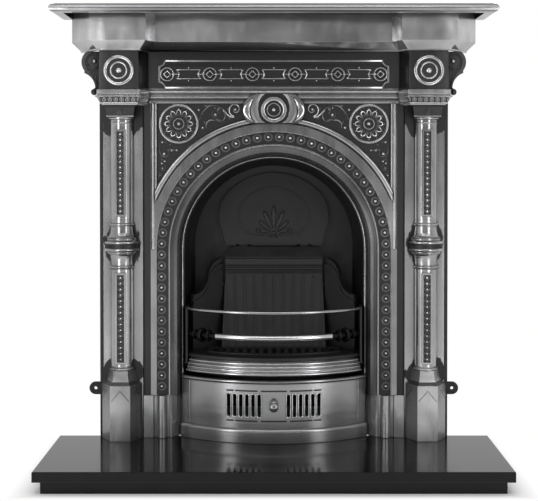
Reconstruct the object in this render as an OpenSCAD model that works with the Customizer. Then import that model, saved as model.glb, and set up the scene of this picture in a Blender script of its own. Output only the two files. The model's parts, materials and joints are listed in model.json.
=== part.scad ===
// Arched cast iron fireplace with columns, a bowed grate and a boxed and lipped stone hearth.
// Millimetres. X runs to the right, the front faces -Y and +Z is up. The origin is on the floor,
// under the middle of the whole object. Below, a height is counted up from the top of the hearth,
// and a depth forward from the wall, so what lies inside the chimney breast has a negative depth.

/* [Hearth] */
// Width of the hearth
hearth_w = 1219; // [1180:1:1400]
// Depth of the hearth, from the wall to its front edge
hearth_d = 381; // [330:1:500]
// Thickness of the stone slab
slab_t = 27; // [18:1:40]
// Height of the stone slips under the slab
slip_h = 33; // [20:1:60]
// Thickness of the slips
slip_t = 27; // [15:1:40]
// Overhang of the slab past the slips
slab_lip = 18; // [6:1:30]

/* [Heights of the surround] */
// Column base, with its cove and ring
base_h = 206; // [196:1:230]
// Lower shaft of the column
lower_shaft_h = 272; // [240:1:310]
// Collar between the two shafts
collar_h = 142; // [140:1:160]
// Upper shaft of the column
upper_shaft_h = 259; // [230:1:300]
// Capital
capital_h = 100; // [98:1:110]
// Corner block with the roundel
block_h = 108; // [100:1:130]
// Splayed moulding under the cornice
bed_h = 26; // [15:1:40]
// Upright face of the cornice
fascia_h = 82; // [60:1:110]

/* [Arch] */
// Radius of the fire opening
opening_r = 256; // [245:1:275]
// Width of the polished cove round the opening
cove_w = 36; // [30:1:45]
// Width of the beaded channel outside the cove
channel_w = 40; // [34:1:48]
// Width of the plain leg outside the channel
leg_w = 36.5; // [34:0.5:44]
// Plate above the crown of the opening, up to the rail
crown_h = 155; // [150:1:175]
// Height of the plinths under the legs
plinth_h = 120; // [90:1:150]
// Beads round the arch, and down each leg
arch_beads = 32; // [24:1:40]
// Radius of a bead
bead_r = 5; // [3:0.5:6]

/* [Columns] */
// Radius of a shaft
shaft_r = 32; // [28:1:36]
// Column axis from the inner edge of its jamb
column_inset = 59; // [56:1:66]
// Width of the jamb's face
jamb_w = 111; // [108:1:124]
// Side of the hexagonal base
hexagon_s = 56.5; // [52:0.5:60]
// Beads in the panel of each shaft
shaft_beads = 15; // [9:1:19]
// Radius of the roundel on the corner block
roundel_r = 42.3; // [34:0.1:48]

/* [Depths from the wall] */
// Face of the jambs
jamb_p = 25; // [22:1:40]
// Face of the arched plate
plate_p = 24; // [20:1:25]
// Face of the frieze
frieze_p = 36; // [32:1:46]
// Face of the corner blocks
block_p = 86; // [78:1:96]
// Face of the cornice over the blocks
cornice_p = 110; // [102:1:125]
// Front edge of the mantel shelf
shelf_d = 190; // [160:1:230]
// How far the firebox reaches back into the chimney breast
firebox_d = 178; // [165:1:230]

/* [Mantel shelf] */
// Overhang of the shelf past the cornice's ends
shelf_overhang = 33.9; // [20:0.1:60]
// Height of the shelf's edge
shelf_edge_h = 23; // [18:1:30]
// Thickness of the shelf's plate
shelf_t = 9; // [6:1:14]
// Width of the shelf's moulded edge
shelf_rim_w = 33; // [18:1:34]

/* [Fire] */
// Height of the grate's bearers
grate_h = 227; // [210:1:240]
// Thickness of the grate and its frame
grate_t = 8; // [6:1:10]
// Slots in the grate
grate_slots = 15; // [9:2:15]
// Height of the ledge over the fireback
ledge_h = 72; // [60:1:90]
// Grooves in the fireback
flutes = 11; // [5:2:11]
// Height of the upper front bar
top_bar_h = 363; // [340:1:380]
// Height of the lower front bar
lower_bar_h = 292; // [280:1:305]
// Radius of the upper bar's section
top_bar_r = 5; // [4:0.5:7]
// Radius of the lower bar's section
lower_bar_r = 8.5; // [7:0.5:10]
// Height of the register door
door_h = 224; // [200:1:230]
// Half the width of the register door
door_a = 163; // [150:1:165]

/* [Ash cover and pan] */
// Height of the ash cover
cover_h = 175; // [150:1:180]
// Radius of the cover's bow, at its plinth
cover_r = 426; // [420:1:440]
// Half the width of the cover
cover_x = 264; // [250:1:264]
// Thickness of the cover
cover_t = 5; // [4:1:7]
// Width of a draught slot
slot_w = 9.2; // [5:0.1:10]
// Length of a draught slot
slot_h = 63; // [40:1:80]
// Distance between draught slots
slot_pitch = 17; // [14:0.5:18]
// Width of the ash pan
pan_w = 280; // [200:1:280]
// Depth of the ash pan, front to back
pan_d = 190; // [150:1:200]
// Height of the ash pan
pan_h = 50; // [40:1:70]
// Sheet thickness of the ash pan
pan_t = 2; // [1.5:0.5:3]

/* [Castings and fits] */
// Wall of the surround's castings
wall = 7; // [5:0.5:8]
// Wall of the firebox
fire_wall = 6; // [5:0.5:8]
// Gap between castings that stand side by side
joint = 0.5; // [0.3:0.1:1]
// Gap under a piece that lifts or slides
seat = 0.3; // [0.2:0.1:0.5]
// Radius of the register door's hinge pin
pin_r = 4; // [3:0.5:5]
// Running clearance round the hinge pin
pin_fit = 0.05; // [0.02:0.01:0.1]
// Radius of the bolts
bolt_r = 4; // [3:0.5:5]
// Radius of the small bolts between the plate and the jambs
small_bolt_r = 2.5; // [2:0.5:3]
// Clearance round a bolt
bolt_fit = 0.4; // [0.2:0.1:1]
// Radius of the holes in the wall lugs
lug_hole_r = 4.5; // [3:0.5:6]
// Radius of a wall lug
lug_r = 18; // [12:1:22]
// Height of the wall lugs' holes
lug_h = 137; // [60:1:300]

/* [Hidden] */
$fn = 72;
e = 0.02;                          // a cut passes this far through the face that it opens
cant = 66;                         // the inner canted faces stand at this angle to the front
end_cant = 54.8;                   // and the canted ends of the cornice at this one
mitre = tan(cant / 2);             // how far a canted corner shifts for each mm of offset
hearth_h = slab_t + slip_h;
wall_y = (hearth_d - firebox_d) / 2;

// Heights of the stack, from the hearth up
collar_z = base_h + lower_shaft_h;
upper_z = collar_z + collar_h;
capital_z = upper_z + upper_shaft_h;
block_z = capital_z + capital_h;
abacus_z = block_z - 42;
bed_z = block_z + block_h;
fascia_z = bed_z + bed_h;
shelf_z = fascia_z + fascia_h;
rail_drop = 35;                    // the rail's lower edge, under the blocks' lower edge
rail_rise = 6;                     // the rail's upper edge, over the blocks' lower edge
rail_z = block_z - rail_drop;
frieze_z = block_z + rail_rise;
spring_h = rail_z - crown_h - opening_r;

// Places across the front
cove_r = opening_r + cove_w;
channel_r = cove_r + channel_w;
band_r = channel_r + 24;           // outer radius of the smooth band
roll_r = 9.4;                      // the round roll outside the band
plate_x = channel_r + leg_w;
jamb_x = plate_x + joint;
col_x = jamb_x + column_inset;
fillet_w = 11;                     // set-back strip outside the jamb's face
fillet_drop = 7;
jamb_out = jamb_x + jamb_w + fillet_w;
block_a = 54;                      // half the width of a corner block
block_in = col_x - block_a;
block_out = col_x + block_a;
frieze_x = block_in - (block_p - frieze_p) / tan(cant);
field_x = plate_x - 39.5;          // half the width of the sunk spandrel field
field_p = plate_p - 6;
field_t = 8;
cornice_a = 77;                    // half the width of the cornice over a block
cornice_c = frieze_p + 25;         // depth of the cornice's middle
cornice_end_p = 22;                // depth where its canted ends stop
foot_end_p = 12;
cornice_x = col_x + cornice_a + (cornice_p - cornice_end_p) / tan(end_cant);
shelf_w = 2 * (cornice_x + shelf_overhang);

// Fire
flare_p = -30;                     // where the cove ends and the firebox begins
back_p = fire_wall - firebox_d;    // inner face of the firebox's back
taper = 21;                        // how much narrower the firebox is at its back
grate_z = grate_h + grate_t;       // top of the grate's frame
ledge_x = 142;
ledge_z = spring_h - 4 - ledge_h;
ledge_front_p = -100;
grate_in = 178;                    // half the width of the opening in the grate's frame
grate_back_p = -58;                // back edge of that opening
grate_rest = 10;                   // how far the loose grate lies on the frame
grate_pitch = 23.6;
ledge_d = 38;                      // depth of the ledge
fireback_top_p = -120;
fireback_foot_p = -70;
fireback_top_w = 283;
fireback_foot_w = 305;
fireback_t = 14;
cheek_out = [232, -40];            // outer end of a cheek's face: across, depth
cheek_in = [ledge_x + 8, -113];
cheek_low_h = ledge_z - 60;        // top of a cheek at its outer end
cheek_t = 12;
bow_r = 376.4;                     // bow of the fret, to its upper edge
bow_p = -281.4;                    // centre of that bow
bow_end = 39.2;                    // half its angle
bar_bow_r = 346;                   // bow of the front bars, to their faces
bar_bow_p = -241;
bar_plate_t = 6;
bar_plate_x = opening_r - 5.5;     // outer face of a bar plate
bar_foot_h = 209;
door_p = -150;                     // hinge of the register door
door_z = spring_h - 9;
door_lean = 4;
door_mid = 96;                     // springing of the door's arch over its hinge
door_t = 6;
knuckle_r = 8;
knuckle_x = 90;
knuckle_l = 24;
lug_gap = 1;
fret_low_h = 187.6;
cover_mid_p = 101;                 // foremost point of the cover's plinth
cover_bow_p = cover_mid_p - cover_r;
cover_plinth_h = 40;
cover_plinth_p = 8;
floor_t = 4;

// ---------------------------------------------------------------- placing

// Drawn as seen from the front, across and up, and built forward from the wall
module front(p0, p1) {
    translate([0, wall_y - p0, hearth_h]) rotate([90, 0, 0]) linear_extrude(p1 - p0) children();
}

// The same frame for solids: x across, y up, z forward from the wall
module facing() {
    translate([0, wall_y, hearth_h]) rotate([90, 0, 0]) children();
}

// Drawn as seen from above, across and forward from the wall, and built up from h0 to h1
module rise(h0, h1) {
    translate([0, wall_y, hearth_h + h0]) mirror([0, 1, 0]) linear_extrude(h1 - h0) children();
}

// Drawn as seen from the side, forward and up, and run across from x0 to x1
module across(x0, x1) {
    translate([0, wall_y, hearth_h]) rotate([90, 0, -90]) translate([0, 0, -x1])
        linear_extrude(x1 - x0) children();
}

// The frame of a column: z is height, -y is forward, and y = 0 lies on the jamb's face
module at_column() {
    translate([col_x, wall_y - jamb_p, hearth_h]) children();
}

// Upright turning that shows its front half
module half_turned() {
    rotate([0, 0, 180]) rotate_extrude(angle = 180) children();
}

// Turned about a line that points forward
module turned_at(x, h, p) {
    facing() translate([x, h, p]) rotate_extrude() children();
}

// The right-hand piece, or its mirror image on the left
module hand(right) {
    if (right) children();
    else mirror([1, 0, 0]) children();
}

module both() {
    children();
    mirror([1, 0, 0]) children();
}

module both_2d() {
    children();
    mirror([1, 0]) children();
}

// ---------------------------------------------------------------- outlines

// An arch on straight legs that start at h0
module arch_2d(r, h0) {
    translate([0, spring_h]) circle(r);
    translate([-r, h0]) square([2 * r, spring_h - h0]);
}

// A three-centred arch: half-span a, rise b, side radius s, on a straight foot
module basket_2d(a, b, s) {
    big = ((a - s) * (a - s) + b * b - s * s) / (2 * (b - s));
    reach = 2 * big / (big - s);
    for (k = [-1, 1]) translate([k * (a - s), 0]) circle(s);
    intersection() {
        translate([0, b - big]) circle(big);
        polygon([[0, b - big], [reach * (a - s), b - big + reach * (big - b)],
                 [-reach * (a - s), b - big + reach * (big - b)]]);
    }
    translate([s - a, -s]) square([2 * (a - s), s]);
}

function flipped(pts) = [for (i = [len(pts) - 1:-1:0]) [-pts[i].x, pts[i].y]];

// Half of a plan that breaks forward over the columns: half-width a, depth f there, c between
// and q at the ends
function break_half(a, f, c, q) = [
    [col_x - a - (f - c) / tan(cant), c], [col_x - a, f], [col_x + a, f],
    [col_x + a + (f - q) / tan(end_cant), q], [col_x + a + (f - q) / tan(end_cant), 0]
];
function break_plan(a, f, c, q) = concat(break_half(a, f, c, q), flipped(break_half(a, f, c, q)));

// Plan of a corner block, moved outwards by o, from the jamb's face forward
function block_plan(o) = [
    [frieze_x + mitre * (frieze_p - jamb_p), jamb_p], [frieze_x - mitre * o, frieze_p + o],
    [block_in - mitre * o, block_p + o], [block_out + o, block_p + o], [block_out + o, jamb_p]
];

// A solid that runs up through a stack of outlines with as many corners, one at each height
module loft(outlines, heights) {
    n = len(outlines[0]);
    top = (len(outlines) - 1) * n;
    polyhedron([for (k = [0:len(outlines) - 1], q = outlines[k]) [q.x, wall_y - q.y, hearth_h + heights[k]]],
        concat([[for (i = [0:n - 1]) i]], [[for (i = [n - 1:-1:0]) top + i]],
               [for (k = [0:len(outlines) - 2], i = [0:n - 1])
                    let (a = k * n + i, b = k * n + (i + 1) % n) [a, a + n, b + n, b]]));
}

// Points of a hollow curve from a to b, each [radius, height]; it leaves a upright
function hollow(a, b, n = 5) = [for (i = [0:n]) let (t = 90 * i / n)
    [a[0] + (b[0] - a[0]) * (1 - cos(t)), a[1] + (b[1] - a[1]) * sin(t)]];

// ---------------------------------------------------------------- hearth

module hearth_slab() color("dimgray") {
    c = 1.5;                       // polished arris
    intersection() {
        across(-hearth_w / 2, hearth_w / 2)
            polygon([[0, -slab_t], [hearth_d - c, -slab_t], [hearth_d, c - slab_t],
                     [hearth_d, -c], [hearth_d - c, 0], [0, 0]]);
        front(0, hearth_d)
            polygon([[-hearth_w / 2, -slab_t], [hearth_w / 2, -slab_t], [hearth_w / 2, -c],
                     [hearth_w / 2 - c, 0], [c - hearth_w / 2, 0], [-hearth_w / 2, -c]]);
    }
}

module hearth_slips() color("dimgray") {
    x = hearth_w / 2 - slab_lip;
    p = hearth_d - slab_lip;
    rise(-hearth_h, -slab_t) {
        translate([-x, p - slip_t]) square([2 * x, slip_t]);
        for (k = [-1, 1]) translate([k * (x - slip_t / 2) - slip_t / 2, 0])
            square([slip_t, p - slip_t - joint]);
    }
}

// ---------------------------------------------------------------- shelf, cornice, frieze

// Section of the shelf's edge that ends at d
module shelf_edge_2d(d) {
    top = shelf_z + shelf_t;
    nose = shelf_edge_h / 2 - 1;
    low = top - shelf_edge_h;
    translate([0, low]) square([d - nose - 2.5, shelf_edge_h]);
    translate([0, low]) square([d - nose, 2 * nose]);
    translate([d - nose, low + nose]) circle(nose);
}

module mantel_shelf() color("silver") difference() {
    intersection() {
        across(-shelf_w / 2, shelf_w / 2) shelf_edge_2d(shelf_d);
        front(0, shelf_d) {
            shelf_edge_2d(shelf_w / 2);
            mirror([1, 0]) shelf_edge_2d(shelf_w / 2);
        }
    }
    rise(shelf_z - shelf_edge_h, shelf_z) translate([shelf_rim_w - shelf_w / 2, -e])
        square([shelf_w - 2 * shelf_rim_w, shelf_d - shelf_rim_w + e]);
    shelf_screw_sites() translate([0, 0, -wall]) cylinder(r = bolt_r, h = wall + shelf_t - 3);
}

// Pads of the cornice that the shelf is screwed to
pad_x = [col_x, 150];
pad_p = 40;
module shelf_screw_sites() {
    for (x = pad_x, k = [-1, 1]) translate([k * x, wall_y - pad_p, hearth_h + shelf_z]) children();
}

module cornice() color("silver") {
    foot = break_plan(block_a + 6, block_p + 6, frieze_p + 6, foot_end_p);
    head = break_plan(cornice_a, cornice_p, cornice_c, cornice_end_p);
    foot_in = break_plan(block_a + 6 - wall, block_p + 6 - wall, frieze_p + 6 - wall, foot_end_p);
    head_in = break_plan(cornice_a - wall, cornice_p - wall, cornice_c - wall, cornice_end_p);
    difference() {
        union() {
            loft([foot, foot, head, head], [bed_z, bed_z + 4, fascia_z, shelf_z]);
        }
        rise(bed_z - 1, fascia_z + wall) polygon(foot_in);
        rise(fascia_z + wall - 1, shelf_z - wall) polygon(head_in);
        rise(shelf_z - wall - 1, shelf_z + 1) difference() {
            polygon(head_in);
            for (x = pad_x, k = [-1, 1]) translate([k * x - 20, pad_p - 20]) square([40, cornice_p]);
        }
        shelf_screw_sites() translate([0, 0, -wall - 1]) cylinder(r = bolt_r + bolt_fit, h = wall + 2);
    }
}

// Notched panel outline, drawn in by o
module notched_2d(o) {
    w = frieze_x - 28.7 - o;
    h = 40 - o;
    difference() {
        square([2 * w, 2 * h], center = true);
        for (i = [-1, 1], j = [-1, 1]) translate([i * (w + o / 2), j * (h + o / 2)]) circle(17);
    }
}

ring_pitch = 119.5;
module frieze_ring_2d() {
    difference() {
        circle(20);
        circle(16);
    }
    rotate(45) difference() {
        square(19, center = true);
        square(8.5, center = true);
    }
}

module cartouche_2d() for (k = [-1, 1]) {
    translate([0, k * 12.6]) square([66, 3], center = true);
    translate([k * 36, 0]) square([20, 2.6], center = true);
    translate([0, k * 18]) circle(2.6);
    intersection() {
        translate([k * 42, 0]) difference() {
            circle(16.5);
            circle(13);
        }
        translate([k * 20, 0]) square([26, 28], center = true);
    }
}

module frieze_panel() color("dimgray") {
    mid = (frieze_z + bed_z) / 2 - 11;
    sunk = 3;
    difference() {
        union() {
            front(frieze_p - wall, frieze_p) translate([-frieze_x + joint, frieze_z])
                square([2 * (frieze_x - joint), bed_z - frieze_z]);
            for (h = [frieze_z, bed_z - wall])
                rise(h, h + wall) translate([-frieze_x + joint, 0])
                    square([2 * (frieze_x - joint), frieze_p - wall + 1]);
            front(frieze_p - 1, frieze_p + 2) translate([0, mid]) {
                difference() {
                    notched_2d(0);
                    notched_2d(5);
                }
            }
        }
        front(frieze_p - sunk, frieze_p + 3) translate([0, mid]) notched_2d(11);
    }
    front(frieze_p - sunk - 1, frieze_p) translate([0, mid]) {
        difference() {
            notched_2d(15);
            notched_2d(18);
        }
        for (i = [0:5]) translate([ring_pitch * (i - 2.5), 0]) frieze_ring_2d();
        for (i = [0:4]) translate([ring_pitch * (i - 2), 0]) cartouche_2d();
    }
}

keystone_x = 66;                   // half the width of the keystone's plate
wing_x = 86;                       // and over its wings
keystone_low = band_r + spring_h - 2;
keystone_top = rail_z + 27;

// Outline of a wing of the keystone, drawn out by g
module wing_2d(g) {
    intersection() {
        translate([wing_x - 45, keystone_low + 39]) circle(45 + g);
        translate([wing_x - 60, keystone_low + 3 - g])
            square([60 + g, keystone_top - keystone_low - 6 + 2 * g]);
    }
}

// The space that the keystone takes out of the castings round it
module keystone_space() {
    front(field_p, frieze_p + 20) {
        translate([-keystone_x - joint, keystone_low])
            square([2 * (keystone_x + joint), keystone_top + joint - keystone_low]);
        both_2d() wing_2d(joint);
    }
}

module entablature_rail() color("silver") difference() {
    intersection() {
        across(-frieze_x - mitre * frieze_p, frieze_x + mitre * frieze_p) {
            polygon([[plate_p - 14, rail_z], [plate_p, rail_z], [plate_p + 4, rail_z + 11],
                     [frieze_p - 4, rail_z + 13], [frieze_p, rail_z + 21], [frieze_p, frieze_z],
                     [plate_p - 14, frieze_z]]);
            translate([plate_p + 2, rail_z + 7]) circle(3);
            translate([frieze_p - 2, rail_z + 16]) circle(4);
            translate([frieze_p, rail_z + 31]) circle(5);
        }
        rise(rail_z, frieze_z) polygon(concat([
            [frieze_x - 1, 0], [frieze_x - 1, jamb_p - e],
            [frieze_x + mitre * (frieze_p - jamb_p) - joint, jamb_p - e],
            [frieze_x - mitre * 10 - joint, frieze_p + 10]],
            flipped([[frieze_x - 1, 0], [frieze_x - 1, jamb_p - e],
            [frieze_x + mitre * (frieze_p - jamb_p) - joint, jamb_p - e],
            [frieze_x - mitre * 10 - joint, frieze_p + 10]])));
    }
    keystone_space();
    both() rise(block_z - joint, frieze_z + 1) translate([frieze_x - joint, -1]) square([60, 80]);
}

// ---------------------------------------------------------------- jambs, blocks, brackets

bolt_site_h = [base_h / 2 - 18, collar_z + collar_h / 2, capital_z + capital_h - 25];
plate_bolt_h = [plinth_h + 60, (plinth_h + rail_z) / 2, rail_z - 60];
module column_bolt_sites() {
    for (h = bolt_site_h) translate([col_x, wall_y - jamb_p, hearth_h + h]) rotate([90, 0, 0]) children();
}
module plate_bolt_sites() {
    for (h = plate_bolt_h)
        translate([jamb_x, wall_y - 5, hearth_h + h]) rotate([0, 90, 0]) children();
}

module jamb(right) hand(right) color("silver") difference() {
    union() {
        rise(0, block_z) polygon([
            [jamb_x, 0], [jamb_x, jamb_p], [jamb_x + jamb_w, jamb_p],
            [jamb_x + jamb_w, jamb_p - fillet_drop], [jamb_out, jamb_p - fillet_drop], [jamb_out, 0]]);
        front(0, 5) hull() {
            translate([jamb_out + lug_r - 3, lug_h]) circle(lug_r);
            translate([jamb_out - 2, lug_h - lug_r]) square([1, 2 * lug_r]);
        }
    }
    for (i = [0:2]) let (bay = (block_z - wall) / 3)
        rise(wall + i * bay, (i + 1) * bay) polygon([
            [jamb_x + wall, -1], [jamb_x + wall, jamb_p - wall], [jamb_x + jamb_w - wall, jamb_p - wall],
            [jamb_x + jamb_w - wall, jamb_p - fillet_drop - wall],
            [jamb_out - wall, jamb_p - fillet_drop - wall], [jamb_out - wall, -1]]);
    facing() translate([jamb_out + lug_r - 3, lug_h, -1]) cylinder(r = lug_hole_r, h = 10);
    column_bolt_sites() translate([0, 0, -wall - 1]) cylinder(r = bolt_r + bolt_fit, h = wall + 2);
    plate_bolt_sites() translate([0, 0, -1]) cylinder(r = small_bolt_r + bolt_fit, h = wall + 2);
}

module corner_block(right) hand(right) color("gray") difference() {
    rise(block_z, bed_z) polygon([
        [block_out, 0], [block_out, block_p], [block_in, block_p], [frieze_x, frieze_p], [frieze_x, 0]]);
    rise(block_z + wall, bed_z + 1) polygon([
        [block_out - wall, -1], [block_out - wall, block_p - wall], [block_in + 4, block_p - wall],
        [frieze_x + wall, frieze_p - 4], [frieze_x + wall, -1]]);
}

module roundel(right) hand(right) color("silver") turned_at(col_x, (block_z + bed_z) / 2 - 1, block_p) {
    intersection() {
        union() {
            square([roundel_r - 4, 1.5]);
            translate([roundel_r - 4, 1.5]) circle(4);
            translate([roundel_r - 20.3, 1]) circle(2.6);
            translate([0, -3]) circle(10);
        }
        square([roundel_r, 8]);
    }
}

module scroll_bracket(right) hand(right) color("gray") {
    lobe = [block_out + 15, bed_z - 30];
    lobe_r = 38;
    foot_h = bed_z - 103;
    difference() {
        front(18, 58) intersection() {
            union() {
                translate(lobe) circle(lobe_r);
                difference() {
                    translate([block_out, foot_h]) square([45, lobe.y - foot_h]);
                    translate([block_out + 60, foot_h]) circle(45);
                }
            }
            translate([block_out, foot_h - 1]) square([80, bed_z - foot_h + 1 - joint]);
        }
        facing() translate([lobe.x, lobe.y, 54]) cylinder(r = 27, h = 10);
    }
    intersection() {
        facing() translate([lobe.x + 2, lobe.y + 2, 50]) {
            cylinder(r = 17, h = 9);
            translate([0, 0, 9]) sphere(6);
        }
        front(0, 80) translate([block_out, foot_h]) square([80, 200]);
    }
    facing() translate([block_out + 21, foot_h - 9, 38]) sphere(9);
    front(32, 44) translate([block_out + 8, foot_h - 14]) square([12, 16]);
}

// ---------------------------------------------------------------- columns

// Boss behind a column piece that a bolt from the jamb screws into
module bolt_boss(h, l) {
    difference() {
        translate([0, 0, h]) rotate([90, 0, 0]) cylinder(r = bolt_r + 6, h = l);
        translate([0, 1, h]) rotate([90, 0, 0]) cylinder(r = bolt_r, h = 21);
    }
}

// Half of a prism with six sides and a hollow profile, from inradius a to b
module hex_cove(a, b, h0, h1) {
    intersection_for (t = [-60, 0, 60]) rotate([0, 0, t]) rotate([90, 0, 90])
        linear_extrude(4 * a, center = true)
            polygon(concat([[2 * a, h0], [-a, h0]], [for (i = [4:-1:0]) hollow([-b, h1], [-a, h0 + 4])[i]],
                           [[2 * a, h1]]));
}

module column_base(right) hand(right) color("gray") at_column() {
    inradius = hexagon_s * sin(60);
    prism_h = base_h - 51;
    difference() {
        union() {
            linear_extrude(prism_h) polygon([
                [-hexagon_s, 0], [-hexagon_s / 2, -inradius], [hexagon_s / 2, -inradius], [hexagon_s, 0]]);
            intersection() {
                hex_cove(inradius - 2, shaft_r + 2, prism_h - e, base_h - 11);
                translate([-100, -100, prism_h - e]) cube([200, 100, 60]);
            }
            half_turned() {
                translate([0, base_h - 11 - e]) square([shaft_r, 11 + e]);
                translate([shaft_r, base_h - 8]) circle(4.5);
            }
        }
        translate([0, 0, wall]) linear_extrude(prism_h - 2 * wall) polygon([
            [wall * 1.2 - hexagon_s, 1], [(wall - hexagon_s) / 2 - 1, wall - inradius],
            [(hexagon_s - wall) / 2 + 1, wall - inradius], [hexagon_s - wall * 1.2, 1]]);
        translate([0, 0, prism_h - wall - 1]) cylinder(r = shaft_r - wall, h = 80);
        for (t = [-60, 0, 60], k = [-1, 1]) rotate([0, 0, t]) translate([0, -inradius, prism_h - 14])
            rotate([0, k * 41, 0]) translate([-0.7, -1.5, -38]) cube([1.4, 3, 38]);
    }
    bolt_boss(bolt_site_h[0], inradius - wall + 1);
}

// Height range of the sunk panel in a shaft that runs from h0 to h1
function panel_low(h0) = h0 + 7;
function panel_high(h1) = h1 - 9;
panel_w = 31;
panel_rim = 5.5;
panel_face = shaft_r + 2;
panel_floor = shaft_r - 2;

module shaft(h0, h1) at_column() difference() {
    union() {
        half_turned() translate([shaft_r - wall, h0]) square([wall, h1 - h0]);
        translate([-panel_w / 2, -panel_face, panel_low(h0)])
            cube([panel_w, 8, panel_high(h1) - panel_low(h0)]);
    }
    translate([panel_rim - panel_w / 2, -panel_face - 1, panel_low(h0) + panel_rim])
        cube([panel_w - 2 * panel_rim, panel_face + 1 - panel_floor,
              panel_high(h1) - panel_low(h0) - 2 * panel_rim]);
}
module upper_shaft(right) hand(right) color("silver") shaft(upper_z, capital_z);
module lower_shaft(right) hand(right) color("silver") shaft(base_h, collar_z);

// Strip of beads that lies in a shaft's panel
module pearl_strip(h0, h1) at_column() {
    low = panel_low(h0) + panel_rim + joint;
    run = panel_high(h1) - panel_low(h0) - 2 * (panel_rim + joint);
    w = panel_w - 2 * (panel_rim + joint);
    difference() {
        union() {
            translate([-w / 2, -panel_floor - 1.5, low]) cube([w, 1.5, run]);
            for (i = [0.5:shaft_beads]) translate([0, -panel_floor - 0.5, low + run * i / shaft_beads])
                sphere(4);
        }
        translate([-w / 2, -panel_floor, low - 10]) cube([w, 10, run + 20]);
    }
}
module pearl_strips(right) hand(right) color("gray") {
    pearl_strip(upper_z, capital_z);
    pearl_strip(base_h, collar_z);
}

module collar(right) hand(right) color("gray") at_column() {
    mid = collar_z + collar_h / 2 - 5;
    union() {
        half_turned() {
            polygon(concat(
                [[shaft_r - wall, collar_z], [shaft_r - 1, collar_z]],
                hollow([shaft_r - 1, collar_z + 13], [shaft_r + 8, mid - 22]),
                [[shaft_r + 8, mid - 15], [shaft_r + 14, mid - 11], [shaft_r + 14, mid + 13],
                 [shaft_r + 9, mid + 17], [shaft_r + 9, mid + 24]],
                [for (i = [5:-1:0]) hollow([shaft_r, upper_z - 22], [shaft_r + 12, mid + 24])[i]],
                [[shaft_r, upper_z], [shaft_r - wall, upper_z]]));
            translate([shaft_r - 1, collar_z + 7]) circle(3.8);
            translate([shaft_r + 6, mid - 17.5]) circle(4);
            translate([shaft_r + 12, mid - 10.5]) circle(4.5);
            translate([shaft_r + 12, mid + 9.5]) circle(4.5);
            translate([shaft_r + 6.5, mid + 18.5]) circle(4);
            translate([shaft_r, upper_z - 16]) circle(3.8);
        }
    }
    bolt_boss(bolt_site_h[1], shaft_r - wall + 2);
}

// Square prism with cut corners and a hollow profile, for the bell of a capital
module bell(a, b, c, h0, h1) {
    intersection() {
        intersection_for (t = [0, 90]) rotate([0, 0, t]) rotate([90, 0, 90])
            linear_extrude(4 * a, center = true) polygon(concat(
                [for (i = [0:5]) hollow([-b, h0], [-a, h1])[i]], [for (i = [5:-1:0]) hollow([b, h0], [a, h1])[i]]));
        intersection_for (t = [-45, 45]) rotate([0, 0, t]) rotate([90, 0, 90])
            linear_extrude(4 * a, center = true)
                polygon([[-c - b, h0], [-c - a, h1], [c + a, h1], [c + b, h0]]);
        translate([-100, -100, h0]) cube([200, 100, h1 - h0]);
    }
}

// The bell of a capital, with its neck rings
module capital(right) hand(right) color("gray") at_column() difference() {
    union() {
        half_turned() {
            translate([shaft_r - wall, capital_z]) square([wall, 28]);
            translate([shaft_r - 1, capital_z + 9]) circle(3);
            translate([shaft_r + 2, capital_z + 23]) circle(4);
        }
        bell(47, 38, 14, capital_z + 26, abacus_z);
    }
    translate([0, 0, capital_z - 1]) cylinder(r = shaft_r - wall, h = 80);
}

// The stepped square over the bell. Each step is how far it stands out past the corner block, and its height
module abacus(right) hand(right) color("gray") difference() {
    steps = [[-7, 0], [-5, 3], [-2, 3.5], [-1.5, 5], [-2, 6.5], [-4, 7.5], [5, 20], [8, 20.5], [10, 22.3],
             [10, 24.3], [8, 26], [5, 26.5], [5, 29], [7, 30], [5.5, 31.5], [5.5, block_z - abacus_z]];
    loft([for (q = steps) block_plan(q[0])], [for (q = steps) abacus_z + q[1]]);
    for (k = [-1, 1]) rise(abacus_z - 10, block_z - wall)
        translate([col_x + k * 23 - 13, jamb_p - 1]) square([26, block_p - 21 - jamb_p]);
    at_column() translate([0, 1, bolt_site_h[2]]) rotate([90, 0, 0]) cylinder(r = bolt_r, h = 16);
}

// ---------------------------------------------------------------- arched plate

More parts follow.
